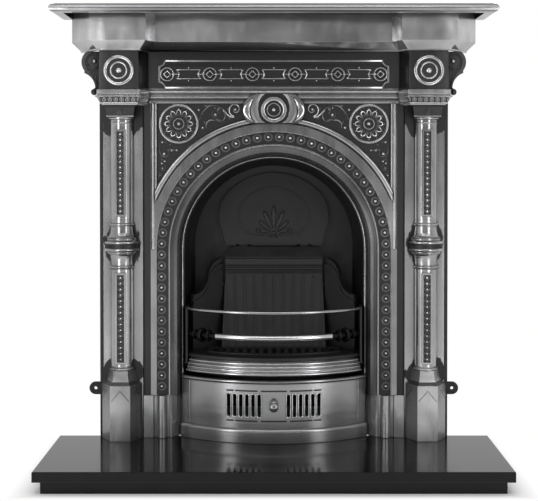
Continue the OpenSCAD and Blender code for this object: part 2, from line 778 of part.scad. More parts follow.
module arch_plate() color("gray") difference() {
    union() {
        front(field_p - field_t, field_p) {
            translate([-plate_x, plinth_h]) square([2 * plate_x, rail_z - plinth_h]);
            for (k = [-1, 1]) translate([k * (plate_x + frieze_x) / 2 - (plate_x - frieze_x) / 2, rail_z])
                square([plate_x - frieze_x, block_z - rail_z]);
        }
        front(field_p - e, plate_p) difference() {
            union() {
                for (k = [-1, 1]) translate([k * (plate_x - 5.5 + field_x) / 2
                    - (plate_x - 5.5 - field_x) / 2, plinth_h])
                    square([plate_x - 5.5 - field_x, block_z - plinth_h]);
                arch_2d(band_r, plinth_h);
            }
            for (k = [-1, 1]) translate([k * (plate_x - 22.5) - 0.5, spring_h])
                square([1, rail_z - spring_h]);
            translate([-frieze_x, rail_z]) square([2 * frieze_x, 100]);
            for (k = [-1, 1]) translate([k * (plate_x - 5.5 + 50) - 50, 0]) square([100, 2000]);
        }
        intersection() {
            facing() translate([0, spring_h, plate_p - 3]) rotate_extrude(angle = 180)
                translate([band_r + 1.5 + roll_r, 0]) circle(roll_r);
            front(field_p - e, plate_p + 20) translate([-field_x - 5, spring_h])
                square([2 * field_x + 10, rail_z - spring_h]);
        }
        for (k = [-1, 1]) {
            translate([k * (plate_x - 28.5), wall_y - plate_p + 2, hearth_h + spring_h])
                cylinder(r = 5, h = rail_z - spring_h);
            translate([k * (field_x + 3), wall_y - plate_p, hearth_h + spring_h + 0.45 * band_r])
                cylinder(r = 3, h = rail_z - spring_h - 0.45 * band_r);
            translate([k * (plate_x - wall / 2) - wall / 2, wall_y - field_p + field_t, hearth_h + plinth_h])
                cube([wall, field_p - field_t, block_z - plinth_h]);
        }
        rise(rail_z - wall, rail_z) translate([-plate_x, 0])
            square([2 * plate_x, field_p - field_t + 1]);
    }
    front(-1, plate_p + 20) arch_2d(channel_r, 0);
    keystone_space();
    both() plate_bolt_sites() translate([0, 0, -wall - 1 - joint])
        cylinder(r = small_bolt_r + bolt_fit, h = wall + 2 + joint);
}

// A moulding that follows the arch and runs down its legs to h0
module arch_run(h0) {
    facing() translate([0, spring_h, 0]) rotate_extrude(angle = 180) children();
    both() rise(h0, spring_h) children();
}

channel_floor_p = plate_p - 5;
module arch_channel() color("gray") arch_run(plinth_h) polygon([
    [cove_r + joint, plate_p - 14], [channel_r - joint, plate_p - 14], [channel_r - joint, plate_p],
    [channel_r - 2, plate_p], [channel_r - 4, channel_floor_p], [cove_r + 6, channel_floor_p],
    [cove_r + 4.5, plate_p + 1], [cove_r + joint, plate_p + 1]]);

// Half-round beads on the floor of the channel
module arch_beading() color("silver") {
    r = cove_r + channel_w * 0.62;
    step = 180 / arch_beads;
    pitch = r * step * PI / 180;
    leg_beads = floor((spring_h - plinth_h - bead_r) / pitch + 0.5);
    difference() {
        facing() {
            for (i = [0.5:arch_beads]) translate([r * cos(i * step), spring_h + r * sin(i * step),
                                                  channel_floor_p]) sphere(bead_r);
            for (i = [0.5:leg_beads], k = [-1, 1])
                translate([k * r, spring_h - i * pitch, channel_floor_p]) sphere(bead_r);
        }
        front(channel_floor_p - 10, channel_floor_p) translate([-400, 0]) square([800, 1200]);
    }
}

// Section of the polished cove: outer face, lip and tail, [radius, depth]
cove_back = [[opening_r + wall, flare_p], [opening_r + wall, -16], [cove_r, 6]];
module cove_2d() {
    polygon(concat(cove_back, [[cove_r, plate_p - 2]],
        [for (i = [5:-1:0]) let (q = hollow([opening_r + 6, -10], [cove_r - 2, plate_p - 2])) q[i]],
        [[opening_r, -14], [opening_r, flare_p]]));
    translate([opening_r + 4, -11]) circle(3);
}
module arch_cove() color("silver") arch_run(plinth_h) cove_2d();

module leg_plinth(right) hand(right) color("silver") rise(0, plinth_h) {
    translate([cove_r + 24, plate_p]) circle(12.5);
    translate([cove_r, 8]) square([leg_w + channel_w, plate_p - 4 - 8]);
    translate([plate_x - 28.5, 8]) square([27, plate_p + 3 - 8]);
    polygon(concat(cove_back, [[cove_r, 8], [cove_r + 1, 8], [cove_r + 1, plate_p], [cove_r - 4, plate_p - 4],
        [opening_r + 9, -8], [opening_r, -12], [opening_r, flare_p]]));
}

module keystone() color("silver") {
    mid = keystone_low + 39;
    front(field_p, plate_p + 9) translate([-keystone_x, keystone_low])
        square([2 * keystone_x, keystone_top - keystone_low]);
    front(field_p, plate_p + 16) both_2d() difference() {
        wing_2d(0);
        translate([22, mid]) circle(47);
    }
}

module keystone_boss() color("silver") turned_at(0, keystone_low + 38.5, plate_p + 9) {
    intersection() {
        union() {
            square([34, 2]);
            translate([33.5, 2]) circle(4.5);
            translate([21, 1]) circle(3);
            translate([0, 2]) circle(6.5);
        }
        square([40, 12]);
    }
}

module rosette(right) hand(right) color("silver") turned_at(field_x - 61, rail_z - 57.5, field_p) {
    intersection() {
        union() {
            square([53, 1.5]);
            translate([53, 2]) circle(4);
            translate([15, 1.5]) circle(2);
            translate([0, 0]) circle(6.5);
        }
        square([57, 10]);
    }
}

// ---------------------------------------------------------------- firebox

// Half-width inside the firebox at a depth
function fire_r(p) = opening_r - taper * (flare_p - p) / (flare_p - back_p);

module firebox_shell() color("black") {
    arch_run(0) polygon([
        [opening_r, flare_p], [opening_r + 19, flare_p], [opening_r + 19, flare_p - fire_wall],
        [opening_r + fire_wall, flare_p - fire_wall], [fire_r(back_p) + fire_wall, back_p],
        [fire_r(back_p), back_p]]);
    // bearers of the grate's frame and of the bars
    both() {
        rise(grate_h - 12, grate_h) polygon([
            [222, back_p], [fire_r(back_p) + 1, back_p], [fire_r(-62) + 1, -62], [222, -62]]);
        rise(bar_foot_h - seat - 10, bar_foot_h - seat) polygon([
            [bar_plate_x - bar_plate_t - 1, -60], [fire_r(-60) + 1, -60],
            [opening_r + 1, flare_p - e], [bar_plate_x - bar_plate_t - 1, flare_p - e]]);
    }
}

// Back of the firebox: a plate with the throat, the door's seat and the lugs of its pin
module firebox_back() color("black") {
    difference() {
        union() {
            front(-firebox_d, back_p) arch_2d(fire_r(back_p) + fire_wall, 0);
            difference() {
                front(back_p - e, door_p) translate([0, door_z + door_mid]) intersection() {
                    union() {
                        basket_2d(door_a - 6, door_h - door_mid - 6, 94);
                        translate([12 - door_a, 18 - door_mid]) square([2 * door_a - 24, door_mid - 18]);
                    }
                    translate([-door_a, knuckle_r + 4 - door_mid]) square([2 * door_a, 2 * door_h]);
                }
                at_door() translate([-200, -60, -door_t / 2 - seat]) cube([400, 400, 200]);
            }
        }
        front(-firebox_d - 1, door_p + 10) translate([0, door_z + door_mid]) {
            basket_2d(door_a - 18, door_h - door_mid - 18, 82);
            translate([24 - door_a, 30 - door_mid]) square([2 * door_a - 48, door_mid - 30]);
        }
    }
    both() difference() {
        translate([knuckle_x + knuckle_l / 2 + lug_gap, wall_y - door_p, hearth_h + door_z]) {
            rotate([0, 90, 0]) cylinder(r = knuckle_r, h = 8);
            translate([0, 0, -knuckle_r]) cube([8, door_p - back_p + e, 2 * knuckle_r]);
        }
        translate([knuckle_x, wall_y - door_p, hearth_h + door_z]) rotate([0, 90, 0])
            cylinder(r = pin_r + pin_fit, h = 60);
    }
}

module ash_pit_floor() color("black") rise(0, floor_t) intersection() {
    polygon([[joint - fire_r(back_p), back_p + joint], [joint + 2 - opening_r, flare_p],
             [joint + 2 - opening_r, 80], [opening_r - joint - 2, 80],
             [opening_r - joint - 2, flare_p], [fire_r(back_p) - joint, back_p + joint]]);
    translate([0, cover_bow_p]) circle(cover_r - cover_plinth_p - cover_t - 4);
}

// Depth of the fireback's face at a height
function fireback_p(h) = fireback_foot_p
    + (fireback_top_p - fireback_foot_p) * (h - grate_z) / (ledge_z - grate_z);

module fireback() color("black") {
    run = ledge_z - grate_z;
    lean = atan((fireback_foot_p - fireback_top_p) / run);
    flute_w = 8.8;
    flute_pitch = 26.9;
    intersection() {
        facing() translate([0, grate_z, fireback_foot_p]) rotate([-lean, 0, 0]) difference() {
            translate([0, 0, -fireback_t]) linear_extrude(fireback_t) polygon([
                [-fireback_foot_w / 2, -20], [fireback_foot_w / 2, -20],
                [fireback_top_w / 2, run / cos(lean) + 20], [-fireback_top_w / 2, run / cos(lean) + 20]]);
            for (i = [-(flutes - 1) / 2:(flutes - 1) / 2])
                translate([i * flute_pitch, 0, -3]) rotate([0, 0, -i * 0.5]) linear_extrude(4) {
                    translate([-flute_w / 2, -40]) square([flute_w, run + 26]);
                    translate([0, run - 14]) circle(flute_w / 2);
                }
        }
        front(fireback_top_p - 40, 0) translate([-200, grate_z]) square([400, run]);
    }
}

module fireback_ledge() color("black") {
    p = ledge_front_p;
    intersection() {
        across(-ledge_x, ledge_x) polygon([
            [p - ledge_d, ledge_z], [p - 12, ledge_z], [p - 12, ledge_z + 4], [p - 5, ledge_z + 7],
            [p - 5, ledge_z + 12], [p - 9, ledge_z + 14], [p - 9, ledge_z + 18], [p, ledge_z + 21],
            [p, ledge_z + 38], [p - 4, ledge_z + 40], [p - 4, ledge_z + 43], [p - 1, ledge_z + 44],
            [p - 27, ledge_z + ledge_h], [p - ledge_d, ledge_z + ledge_h]]);
        front(p - 50, p + 10) polygon([
            [-ledge_x, ledge_z], [ledge_x, ledge_z], [ledge_x, ledge_z + 48],
            [ledge_x - 7, ledge_z + ledge_h], [7 - ledge_x, ledge_z + ledge_h], [-ledge_x, ledge_z + 48]]);
    }
}

// Side of a cheek, with its top lowered by d: two arcs that meet halfway
module cheek_2d(run, climb, d) {
    r = (run * run + climb * climb) / (4 * climb);
    low = cheek_low_h - grate_z;
    square([run, low - d]);
    translate([0, low - d - 1]) difference() {
        square([run / 2, climb / 2 + 1]);
        translate([0, r + 1]) circle(r);
    }
    translate([run, low + climb - r - d]) intersection() {
        circle(r);
        translate([-run / 2, -climb + r - 1]) square([run / 2, climb + 1]);
    }
    translate([run / 2, low - d - 1]) square([run / 2, 1 + max(0, climb - r)]);
}

module cheek(right) hand(right) color("black") {
    way = cheek_in - cheek_out;
    run = norm(way);
    climb = ledge_z + 41 - cheek_low_h;
    translate([cheek_out.x, wall_y - cheek_out.y, hearth_h + grate_z])
        rotate([90, 0, atan2(-way.y, way.x)]) mirror([0, 0, 1]) {
            translate([0, 0, -cheek_t]) linear_extrude(cheek_t) cheek_2d(run, climb, 0);
            linear_extrude(4) difference() {
                cheek_2d(run, climb, 0);
                cheek_2d(run, climb, 11);
            }
            linear_extrude(4) difference() {
                cheek_2d(run, climb, 17);
                cheek_2d(run, climb, 28);
            }
        }
}

module at_door() {
    facing() translate([0, door_z, door_p]) rotate([-door_lean, 0, 0]) children();
}

module register_door() color("black") at_door() {
    rim = 5;
    difference() {
        union() {
            translate([0, 0, -door_t / 2]) linear_extrude(door_t) difference() {
                translate([0, door_mid]) {
                    basket_2d(door_a, door_h - door_mid, 100);
                    polygon([[-door_a, 0], [door_a, 0], [door_a - 21, 6 - door_mid], [21 - door_a, 6 - door_mid]]);
                }
                translate([-door_a, -60]) square([2 * door_a, 60 + pin_r + 2]);
                for (k = [-1, 1]) translate([k * knuckle_x - knuckle_l / 2 - 10, -20])
                    square([knuckle_l + 20, 20 + knuckle_r + 2]);
            }
            translate([0, door_mid, 0]) linear_extrude(door_t / 2 + 2.5) difference() {
                d_line_2d(108, 86, 58);
                d_line_2d(108 - rim, 86 - rim, 58 - rim);
            }
            for (k = [-1, 1]) translate([k * knuckle_x - knuckle_l / 2, 0, 0]) {
                rotate([0, 90, 0]) cylinder(r = knuckle_r, h = knuckle_l);
                translate([0, 0, -door_t / 2]) cube([knuckle_l, knuckle_r + 3, door_t]);
            }
        }
        for (k = [-1, 1]) translate([k * knuckle_x, 0, 0]) rotate([0, 90, 0])
            cylinder(r = pin_r + pin_fit, h = knuckle_l + 2, center = true);
    }
}
module d_line_2d(a, b, s) basket_2d(a, b, s);

module door_hinge_pin() color("dimgray")
    translate([0, wall_y - door_p, hearth_h + door_z]) rotate([0, 90, 0])
        cylinder(r = pin_r, h = 2 * (knuckle_x + knuckle_l / 2 + lug_gap + 10), center = true);

module grate_frame() color("black") {
    side = fire_r(back_p) - joint;
    lip = bow_r - 5;
    x = bar_plate_x - bar_plate_t - 1;
    rise(grate_h, grate_z) difference() {
        intersection() {
            polygon([[-side, back_p + joint], [joint - fire_r(-62), -62], [-x, -61], [-x, 200],
                     [x, 200], [x, -61], [fire_r(-62) - joint, -62], [side, back_p + joint]]);
            translate([0, bow_p]) circle(lip);
        }
        intersection() {
            translate([-grate_in, grate_back_p]) square([2 * grate_in, 300]);
            translate([0, bow_p]) circle(bow_r - 43);
        }
    }
    // curb that keeps the coals behind the fret
    translate([0, wall_y - bow_p, hearth_h]) rotate([0, 0, -90 - bow_end + 1])
        rotate_extrude(angle = 2 * bow_end - 2) polygon([
            [lip - 19, grate_z - 2], [lip - 1, grate_z - 2], [lip - 1, grate_z], [lip - 13, grate_z + 5],
            [lip - 19, grate_z + 5]]);
}

module bottom_grate() color("black") rise(grate_z + seat, grate_z + seat + grate_t) difference() {
    intersection() {
        translate([-grate_in - grate_rest, grate_back_p - grate_rest + 2])
            square([2 * (grate_in + grate_rest), 300]);
        translate([0, bow_p]) circle(bow_r - 31);
    }
    intersection() {
        for (i = [-(grate_slots - 1) / 2:(grate_slots - 1) / 2])
            translate([i * grate_pitch - 6, grate_back_p + 6]) square([12, 300]);
        translate([0, bow_p]) circle(bow_r - 47);
    }
}

// ---------------------------------------------------------------- front bars and fret

module bar_plate(right) hand(right) color("dimgray") {
    x0 = bar_plate_x - bar_plate_t;
    across(x0, bar_plate_x) {
        difference() {
            translate([-58, bar_foot_h]) square([61, top_bar_h + top_bar_r - bar_foot_h]);
            translate([-58, bar_foot_h + 48]) circle(30);
        }
        translate([3, bar_foot_h]) square([3, top_bar_h - bar_foot_h]);
    }
}

// A ring turned on the lower bar, a degrees from its middle
module bar_ring(a, r, w) {
    translate([0, wall_y - bar_bow_p, hearth_h + lower_bar_h]) rotate([0, 0, a - 90])
        translate([bar_bow_r - lower_bar_r, 0, 0]) rotate([90, 0, 0]) rotate_extrude() {
            translate([0, -w / 2]) square([r - w / 2, w]);
            translate([r - w / 2, 0]) circle(w / 2);
        }
}

module bowed_bar(h, r) {
    x = bar_plate_x - bar_plate_t;
    swing = asin(x / (bar_bow_r - r)) + 4;
    intersection() {
        translate([0, wall_y - bar_bow_p, hearth_h + h]) rotate([0, 0, -90 - swing])
            rotate_extrude(angle = 2 * swing) translate([bar_bow_r - r, 0]) circle(r);
        front(-120, 200) translate([-x, 0]) square([2 * x, 600]);
    }
}
module top_bar() color("silver") bowed_bar(top_bar_h - 1, top_bar_r);
module lower_bar() color("silver") {
    end = asin((bar_plate_x - bar_plate_t) / (bar_bow_r - lower_bar_r));
    bowed_bar(lower_bar_h, lower_bar_r);
    for (k = [-1, 1]) {
        bar_ring(k * (end - 13.9), 17, 9);
        bar_ring(k * (end - 9.8), 21, 11);
        bar_ring(k * (end - 5.4), 14, 8);
    }
}

module fret_moulding() color("silver") {
    reeds = 4;
    lean = 17;                     // how far the lower edge stands out
    drop = grate_h - 3.4 - fret_low_h;
    translate([0, wall_y - bow_p, hearth_h]) rotate([0, 0, -90 - bow_end])
        rotate_extrude(angle = 2 * bow_end) {
            polygon([[bow_r - 12, fret_low_h], [bow_r + lean - 6, fret_low_h], [bow_r + lean - 2, fret_low_h + 3],
                     [bow_r - 2, fret_low_h + drop], [bow_r - 6, grate_h], [bow_r - 12, grate_h]]);
            for (i = [0.5:reeds]) translate([bow_r - 3 + lean * (1 - i / reeds), fret_low_h + drop * i / reeds])
                circle(4.2);
        }
}

// ---------------------------------------------------------------- ash cover and pan

// A bowed wall that follows the cover: section drawn as [radius, height]
module cover_bow() {
    swing = asin(cover_x / cover_r);
    translate([0, wall_y - cover_bow_p, hearth_h]) rotate([0, 0, -90 - swing])
        rotate_extrude(angle = 2 * swing) children();
}

function slot_x(i) = (i < 0 ? -1 : 1) * (slot_pitch * (abs(i) - 0.5) + 32);
module slot_2d(o) {
    w = slot_w / 2 + o;
    translate([-w, o + w - slot_h / 2 - 2 * o]) square([2 * w, slot_h - 2 * w + 2 * o]);
    for (k = [-1, 1]) translate([0, k * (slot_h / 2 + o - w)]) circle(w);
}

module ash_cover() color("silver") {
    face = cover_r - cover_plinth_p;
    mid = cover_plinth_h + 64;
    difference() {
        union() {
            cover_bow() {
                translate([face - cover_t, seat]) square([cover_t, cover_h - seat]);
                translate([face - cover_t, seat]) square([cover_t + cover_plinth_p, cover_plinth_h - 8 - seat]);
                translate([face, cover_plinth_h - 8]) circle(7.5);
                translate([face - 1, cover_h - 5.5]) circle(5.5);
            }
            intersection() {
                front(0, 200) for (i = [-6:6]) if (i != 0) translate([slot_x(i), mid]) slot_2d(2);
                cover_bow() translate([face - 1, 0]) square([2.4, cover_h]);
            }
        }
        front(-50, 200) for (i = [-6:6]) if (i != 0) translate([slot_x(i), mid]) slot_2d(0);
        front(-50, 200) translate([0, mid]) circle(bolt_r);
    }
}

module cover_knob() color("silver") {
    face = cover_bow_p + cover_r - cover_plinth_p;
    turned_at(0, cover_plinth_h + 64, face + 0.1) {
        square([9, 3]);
        square([5, 16]);
        translate([0, 18]) intersection() {
            circle(11.5);
            translate([0, -8]) square([20, 20]);
        }
    }
    facing() translate([0, cover_plinth_h + 64, face - 12]) {
        cylinder(r = bolt_r - pin_fit, h = 13);
        cylinder(r = 7, h = 12 - cover_t - 0.4);
    }
}

module ash_pan() color("dimgray") {
    front_p = 50;
    base = floor_t + seat;
    difference() {
        rise(base, base + pan_h) translate([-pan_w / 2, front_p - pan_d]) square([pan_w, pan_d]);
        rise(base + pan_t, base + pan_h + 1) translate([pan_t - pan_w / 2, front_p - pan_d + pan_t])
            square([pan_w - 2 * pan_t, pan_d - 2 * pan_t]);
    }
    // wire handle
    translate([0, wall_y - front_p + 1, hearth_h + base + pan_h * 0.6]) {
        for (k = [-1, 1]) translate([k * 30, 0, 0]) rotate([90, 0, 0]) cylinder(r = 3, h = 14);
        translate([-30, -14, 0]) rotate([0, 90, 0]) cylinder(r = 3, h = 60);
        for (k = [-1, 1]) translate([k * 30, -14, 0]) sphere(3);
    }
}

// ---------------------------------------------------------------- fasteners

// Bolt along +z with its head below z = 0
module bolt(r, l) {
    cylinder(r = r, h = l);
    translate([0, 0, -1.4 * r]) cylinder(r = 1.8 * r, h = 1.4 * r, $fn = 6);
}

module shelf_screws() color("dimgray") shelf_screw_sites()
    translate([0, 0, -wall]) bolt(bolt_r, wall + shelf_t - 4);

module column_bolts() color("dimgray") both() column_bolt_sites()
    translate([0, 0, -wall]) bolt(bolt_r, wall + 14);

module jamb_bolts() color("dimgray") both() plate_bolt_sites() {
    translate([0, 0, -wall - joint]) bolt(small_bolt_r, 2 * wall + joint + 6);
    translate([0, 0, wall]) difference() {
        cylinder(r = 1.8 * small_bolt_r, h = 4, $fn = 6);
        cylinder(r = small_bolt_r, h = 20, center = true);
    }
}

hearth_slab();
hearth_slips();
mantel_shelf();
cornice();
frieze_panel();
entablature_rail();
jamb(false);  // left_jamb
jamb(true);  // right_jamb
corner_block(false);  // left_corner_block
corner_block(true);  // right_corner_block
roundel(false);  // left_roundel
roundel(true);  // right_roundel
scroll_bracket(false);  // left_scroll_bracket
scroll_bracket(true);  // right_scroll_bracket
capital(false);  // left_capital
capital(true);  // right_capital
abacus(false);  // left_abacus
abacus(true);  // right_abacus
upper_shaft(false);  // left_upper_shaft
upper_shaft(true);  // right_upper_shaft
collar(false);  // left_collar
collar(true);  // right_collar
lower_shaft(false);  // left_lower_shaft
lower_shaft(true);  // right_lower_shaft
column_base(false);  // left_column_base
column_base(true);  // right_column_base
pearl_strips(false);  // left_pearl_strips
pearl_strips(true);  // right_pearl_strips
leg_plinth(false);  // left_leg_plinth
leg_plinth(true);  // right_leg_plinth
rosette(false);  // left_rosette
rosette(true);  // right_rosette
arch_plate();
arch_channel();
arch_beading();
arch_cove();
keystone();
keystone_boss();
firebox_shell();
firebox_back();
ash_pit_floor();
fireback();
fireback_ledge();
cheek(false);  // left_cheek
cheek(true);  // right_cheek
grate_frame();
bottom_grate();
register_door();
door_hinge_pin();
bar_plate(false);  // left_bar_plate
bar_plate(true);  // right_bar_plate
top_bar();
lower_bar();
fret_moulding();
ash_cover();
cover_knob();
ash_pan();
shelf_screws();
column_bolts();
jamb_bolts();
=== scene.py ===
"""Looks of an arched cast iron fireplace: burnished iron surround, matt black firebox, granite hearth."""

import json
import math

import bmesh
import bpy
from bpy.props import FloatProperty, FloatVectorProperty, IntProperty, PointerProperty
from mathutils import Matrix, Vector
from mathutils.bvhtree import BVHTree


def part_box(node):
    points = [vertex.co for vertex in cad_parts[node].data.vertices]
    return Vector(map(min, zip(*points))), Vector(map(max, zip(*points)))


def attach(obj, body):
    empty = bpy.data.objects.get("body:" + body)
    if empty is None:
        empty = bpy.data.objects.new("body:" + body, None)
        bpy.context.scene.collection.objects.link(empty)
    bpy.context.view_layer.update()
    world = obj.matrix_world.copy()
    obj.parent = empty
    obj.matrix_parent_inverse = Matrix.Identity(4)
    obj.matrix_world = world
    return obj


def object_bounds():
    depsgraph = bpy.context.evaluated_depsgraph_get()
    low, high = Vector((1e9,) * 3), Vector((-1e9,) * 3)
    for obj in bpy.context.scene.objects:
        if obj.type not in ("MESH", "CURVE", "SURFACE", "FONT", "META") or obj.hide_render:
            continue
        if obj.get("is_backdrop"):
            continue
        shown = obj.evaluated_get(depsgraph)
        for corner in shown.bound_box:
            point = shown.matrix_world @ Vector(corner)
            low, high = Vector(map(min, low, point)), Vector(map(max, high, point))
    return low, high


bl_info = {
    "name": "Cast Iron Fireplace",
    "version": (1, 0, 0),
    "blender": (4, 5, 0),
    "location": "3D View > Sidebar > Fireplace",
    "description": "Carving, finishes and studio for an arched cast iron fireplace",
    "category": "Object",
}

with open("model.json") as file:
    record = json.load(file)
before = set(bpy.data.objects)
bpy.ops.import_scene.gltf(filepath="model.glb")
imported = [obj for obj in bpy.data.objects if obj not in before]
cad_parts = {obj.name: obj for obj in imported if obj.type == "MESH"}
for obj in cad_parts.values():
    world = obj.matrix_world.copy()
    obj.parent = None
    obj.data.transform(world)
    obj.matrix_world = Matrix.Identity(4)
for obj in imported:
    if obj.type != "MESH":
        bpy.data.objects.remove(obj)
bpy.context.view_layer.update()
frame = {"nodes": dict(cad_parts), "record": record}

# The castings are carved in a frame of their own, in millimetres: x across, y up from the top of
# the hearth and z forward from the wall. FACE turns that into the part's frame.
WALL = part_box("mantel_shelf")[1][1]
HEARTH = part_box("hearth_slab")[1][2]
FACE = Matrix.Translation((0, WALL, HEARTH)) @ Matrix.Rotation(math.pi / 2, 4, "X") @ Matrix.Scale(0.001, 4)

# The photo's width and the lens that was fitted to it, in the photo's pixels. LENS_COLUMN is the
# column that the lens is aimed at, and LENS_DROP is how far the view is shifted down.
PHOTO_WIDTH = 538
FOCAL_LENGTH = 1135.3
LENS_COLUMN = 273.8
LENS_DROP = 70


def span(node):
    """(lowest, highest) corner of a CAD node in the carving frame."""
    low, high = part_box(node)
    return (
        Vector((low[0] * 1000, (low[2] - HEARTH) * 1000, (WALL - high[1]) * 1000)),
        Vector((high[0] * 1000, (high[2] - HEARTH) * 1000, (WALL - low[1]) * 1000)),
    )


SHAFT_LOW, SHAFT_HIGH = span("right_upper_shaft")
FOOT_LOW, FOOT_HIGH = span("right_lower_shaft")
JAMB_FACE = span("right_jamb")[1].z
COLUMN_X = (SHAFT_LOW.x + SHAFT_HIGH.x) / 2
SHAFT_RADIUS = (SHAFT_HIGH.x - SHAFT_LOW.x) / 2
SPRING = span("arch_cove")[1].y - span("arch_cove")[1].x
CHANNEL_FLOOR = span("arch_beading")[0].z
FIELD = span("right_rosette")[0].z
ROSETTE = (span("right_rosette")[0] + span("right_rosette")[1]) / 2
FRIEZE_LOW, FRIEZE_HIGH = span("frieze_panel")
FRIEZE_MID = (FRIEZE_LOW.y + FRIEZE_HIGH.y) / 2 - 11
BLOCK_FACE = span("right_corner_block")[1].z
COVER_HIGH = span("ash_cover")[1]
BOSS_LOW, BOSS_HIGH = span("keystone_boss")
CAPITAL_LOW, CAPITAL_HIGH = span("right_capital")
BOTH_SIDES = (-1, 1)


def surface(node, x, y):
    """How far from the wall a CAD node's front face is at x, y."""
    mesh = frame["nodes"][node].data
    tree = BVHTree.FromPolygons([v.co for v in mesh.vertices], [f.vertices for f in mesh.polygons])
    hit = tree.ray_cast(FACE @ Vector((x, y, 400)), Vector((0, 1, 0)))[0]
    return (WALL - hit.y) * 1000


# ------------------------------------------------------------------ shapes


def stamp(bm, shape, place=Matrix.Identity(4)):
    """Adds a shape, moved to its place, to the carving."""
    start = len(bm.verts)
    bm.from_mesh(shape)
    bm.verts.ensure_lookup_table()
    bmesh.ops.transform(bm, matrix=place, verts=bm.verts[start:])


def as_shape(bm, name):
    """A mesh to stamp again and again."""
    shape = bpy.data.meshes.new(name)
    bm.to_mesh(shape)
    bm.free()
    return shape


def at(x, y, z=0.0, turn=0.0):
    """Place on the front, turned anticlockwise by an angle in degrees."""
    return Matrix.Translation((x, y, z)) @ Matrix.Rotation(math.radians(turn), 4, "Z")


def on_round(radius, degrees):
    """(x, y) of a point on a circle round 0, 0."""
    angle = math.radians(degrees)
    return radius * math.cos(angle), radius * math.sin(angle)


def round_column(x, y, z, angle, out):
    """Place on a column's surface: axis at x, z; angle turns from the front towards its right."""
    return (
        Matrix.Translation((x, y, z))
        @ Matrix.Rotation(math.radians(angle), 4, "Y")
        @ Matrix.Translation((0, 0, out))
    )


def ring_shape(radius, thick, flat=1.0, steps=36, sides=8):
    """A round ring that lies on a face and stands out forwards."""
    bm = bmesh.new()
    verts = bmesh.ops.create_circle(bm, segments=sides, radius=thick)["verts"]
    bmesh.ops.rotate(bm, verts=verts, matrix=Matrix.Rotation(math.pi / 2, 3, "X"))
    bmesh.ops.translate(bm, verts=verts, vec=(radius, 0, 0))
    bmesh.ops.spin(
        bm,
        geom=bm.verts[:] + bm.edges[:],
        cent=(0, 0, 0),
        axis=(0, 0, 1),
        angle=2 * math.pi,
        steps=steps,
        use_merge=True,
    )
    bmesh.ops.scale(bm, verts=bm.verts, vec=(1, 1, flat))
    return as_shape(bm, "ring")


def button_shape(radius, rise, segments=12):
    """A round bead, flattened or raised."""
    bm = bmesh.new()
    bmesh.ops.create_uvsphere(bm, u_segments=segments, v_segments=8, radius=1)
    bmesh.ops.scale(bm, verts=bm.verts, vec=(radius, radius, rise))
    return as_shape(bm, "button")


def petal_shape(length, width, rise):
    """A petal or leaf that starts at the origin and points up, blunt at its outer end."""
    bm = bmesh.new()
    bmesh.ops.create_uvsphere(bm, u_segments=12, v_segments=8, radius=1)
    bmesh.ops.scale(bm, verts=bm.verts, vec=(width / 2, length / 2, rise))
    bmesh.ops.translate(bm, verts=bm.verts, vec=(0, length / 2, 0))
    for v in bm.verts:
        along = v.co.y / length
        v.co.x *= 0.35 + 0.95 * along
        v.co.z *= 0.6 + 0.6 * along
    return as_shape(bm, "petal")


def leaf_shape(length, width, rise):
    """A leaf that starts at the origin and points up, pointed at its tip, with a hollow midrib."""
    bm = bmesh.new()
    bmesh.ops.create_grid(bm, x_segments=4, y_segments=8, size=0.5)
    for v in bm.verts:
        along = v.co.y + 0.5
        wide = math.sin(math.pi * min(1.0, 0.08 + along * 0.92)) ** 0.75
        edge = abs(v.co.x) * 2
        lift = rise * wide * (0.35 + 1.1 * edge - 0.9 * edge**3)
        v.co = Vector((v.co.x * width * wide, along * length, lift))
    bmesh.ops.solidify(bm, geom=bm.faces[:], thickness=rise * 0.6)
    return as_shape(bm, "leaf")


def bar_shape(length, width, rise):
    """A flat-topped bar along x, with soft edges."""
    bm = bmesh.new()
    bmesh.ops.create_cube(bm, size=1)
    bmesh.ops.scale(bm, verts=bm.verts, vec=(length, width, rise * 2))
    soft = min(width, rise) * 0.35
    bmesh.ops.bevel(bm, geom=bm.edges[:], offset=soft, segments=2, profile=0.5, affect="EDGES", material=-1)
    return as_shape(bm, "bar")


def tube(bm, path, radii, sides=8):
    """A rod of changing radius that follows a path, closed at both ends."""
    path = [Vector(point) for point in path]
    verts = bmesh.ops.create_circle(bm, segments=sides, radius=1, cap_ends=True)["verts"]
    edges = list({e for v in verts for e in v.link_edges})
    last = Matrix.Identity(4)
    for i, point in enumerate(path):
        ahead = path[min(i + 1, len(path) - 1)] - path[max(i - 1, 0)]
        turn = ahead.to_track_quat("Z", "Y").to_matrix().to_4x4()
        here = Matrix.Translation(point) @ turn @ Matrix.Scale(radii[i], 4)
        if i:
            grown = bmesh.ops.extrude_edge_only(bm, edges=edges)["geom"]
            verts = [part for part in grown if isinstance(part, bmesh.types.BMVert)]
            edges = [part for part in grown if isinstance(part, bmesh.types.BMEdge)]
        bmesh.ops.transform(bm, matrix=here @ last.inverted(), verts=verts)
        last = here
    bmesh.ops.edgenet_fill(bm, edges=edges)


def curve(points, steps=6):
    """A smooth path through points, each (x, y, z)."""
    knots = [Vector(point) for point in points]
    knots = [knots[0] * 2 - knots[1]] + knots + [knots[-1] * 2 - knots[-2]]
    path = []
    for a, b, c, d in zip(knots, knots[1:], knots[2:], knots[3:]):
        for i in range(steps):
            t = i / steps
            square = (2 * a - 5 * b + 4 * c - d) * t**2
            cube = (3 * b - a - 3 * c + d) * t**3
            path.append(0.5 * ((2 * b) + (c - a) * t + square + cube))
    path.append(knots[-2])
    return path


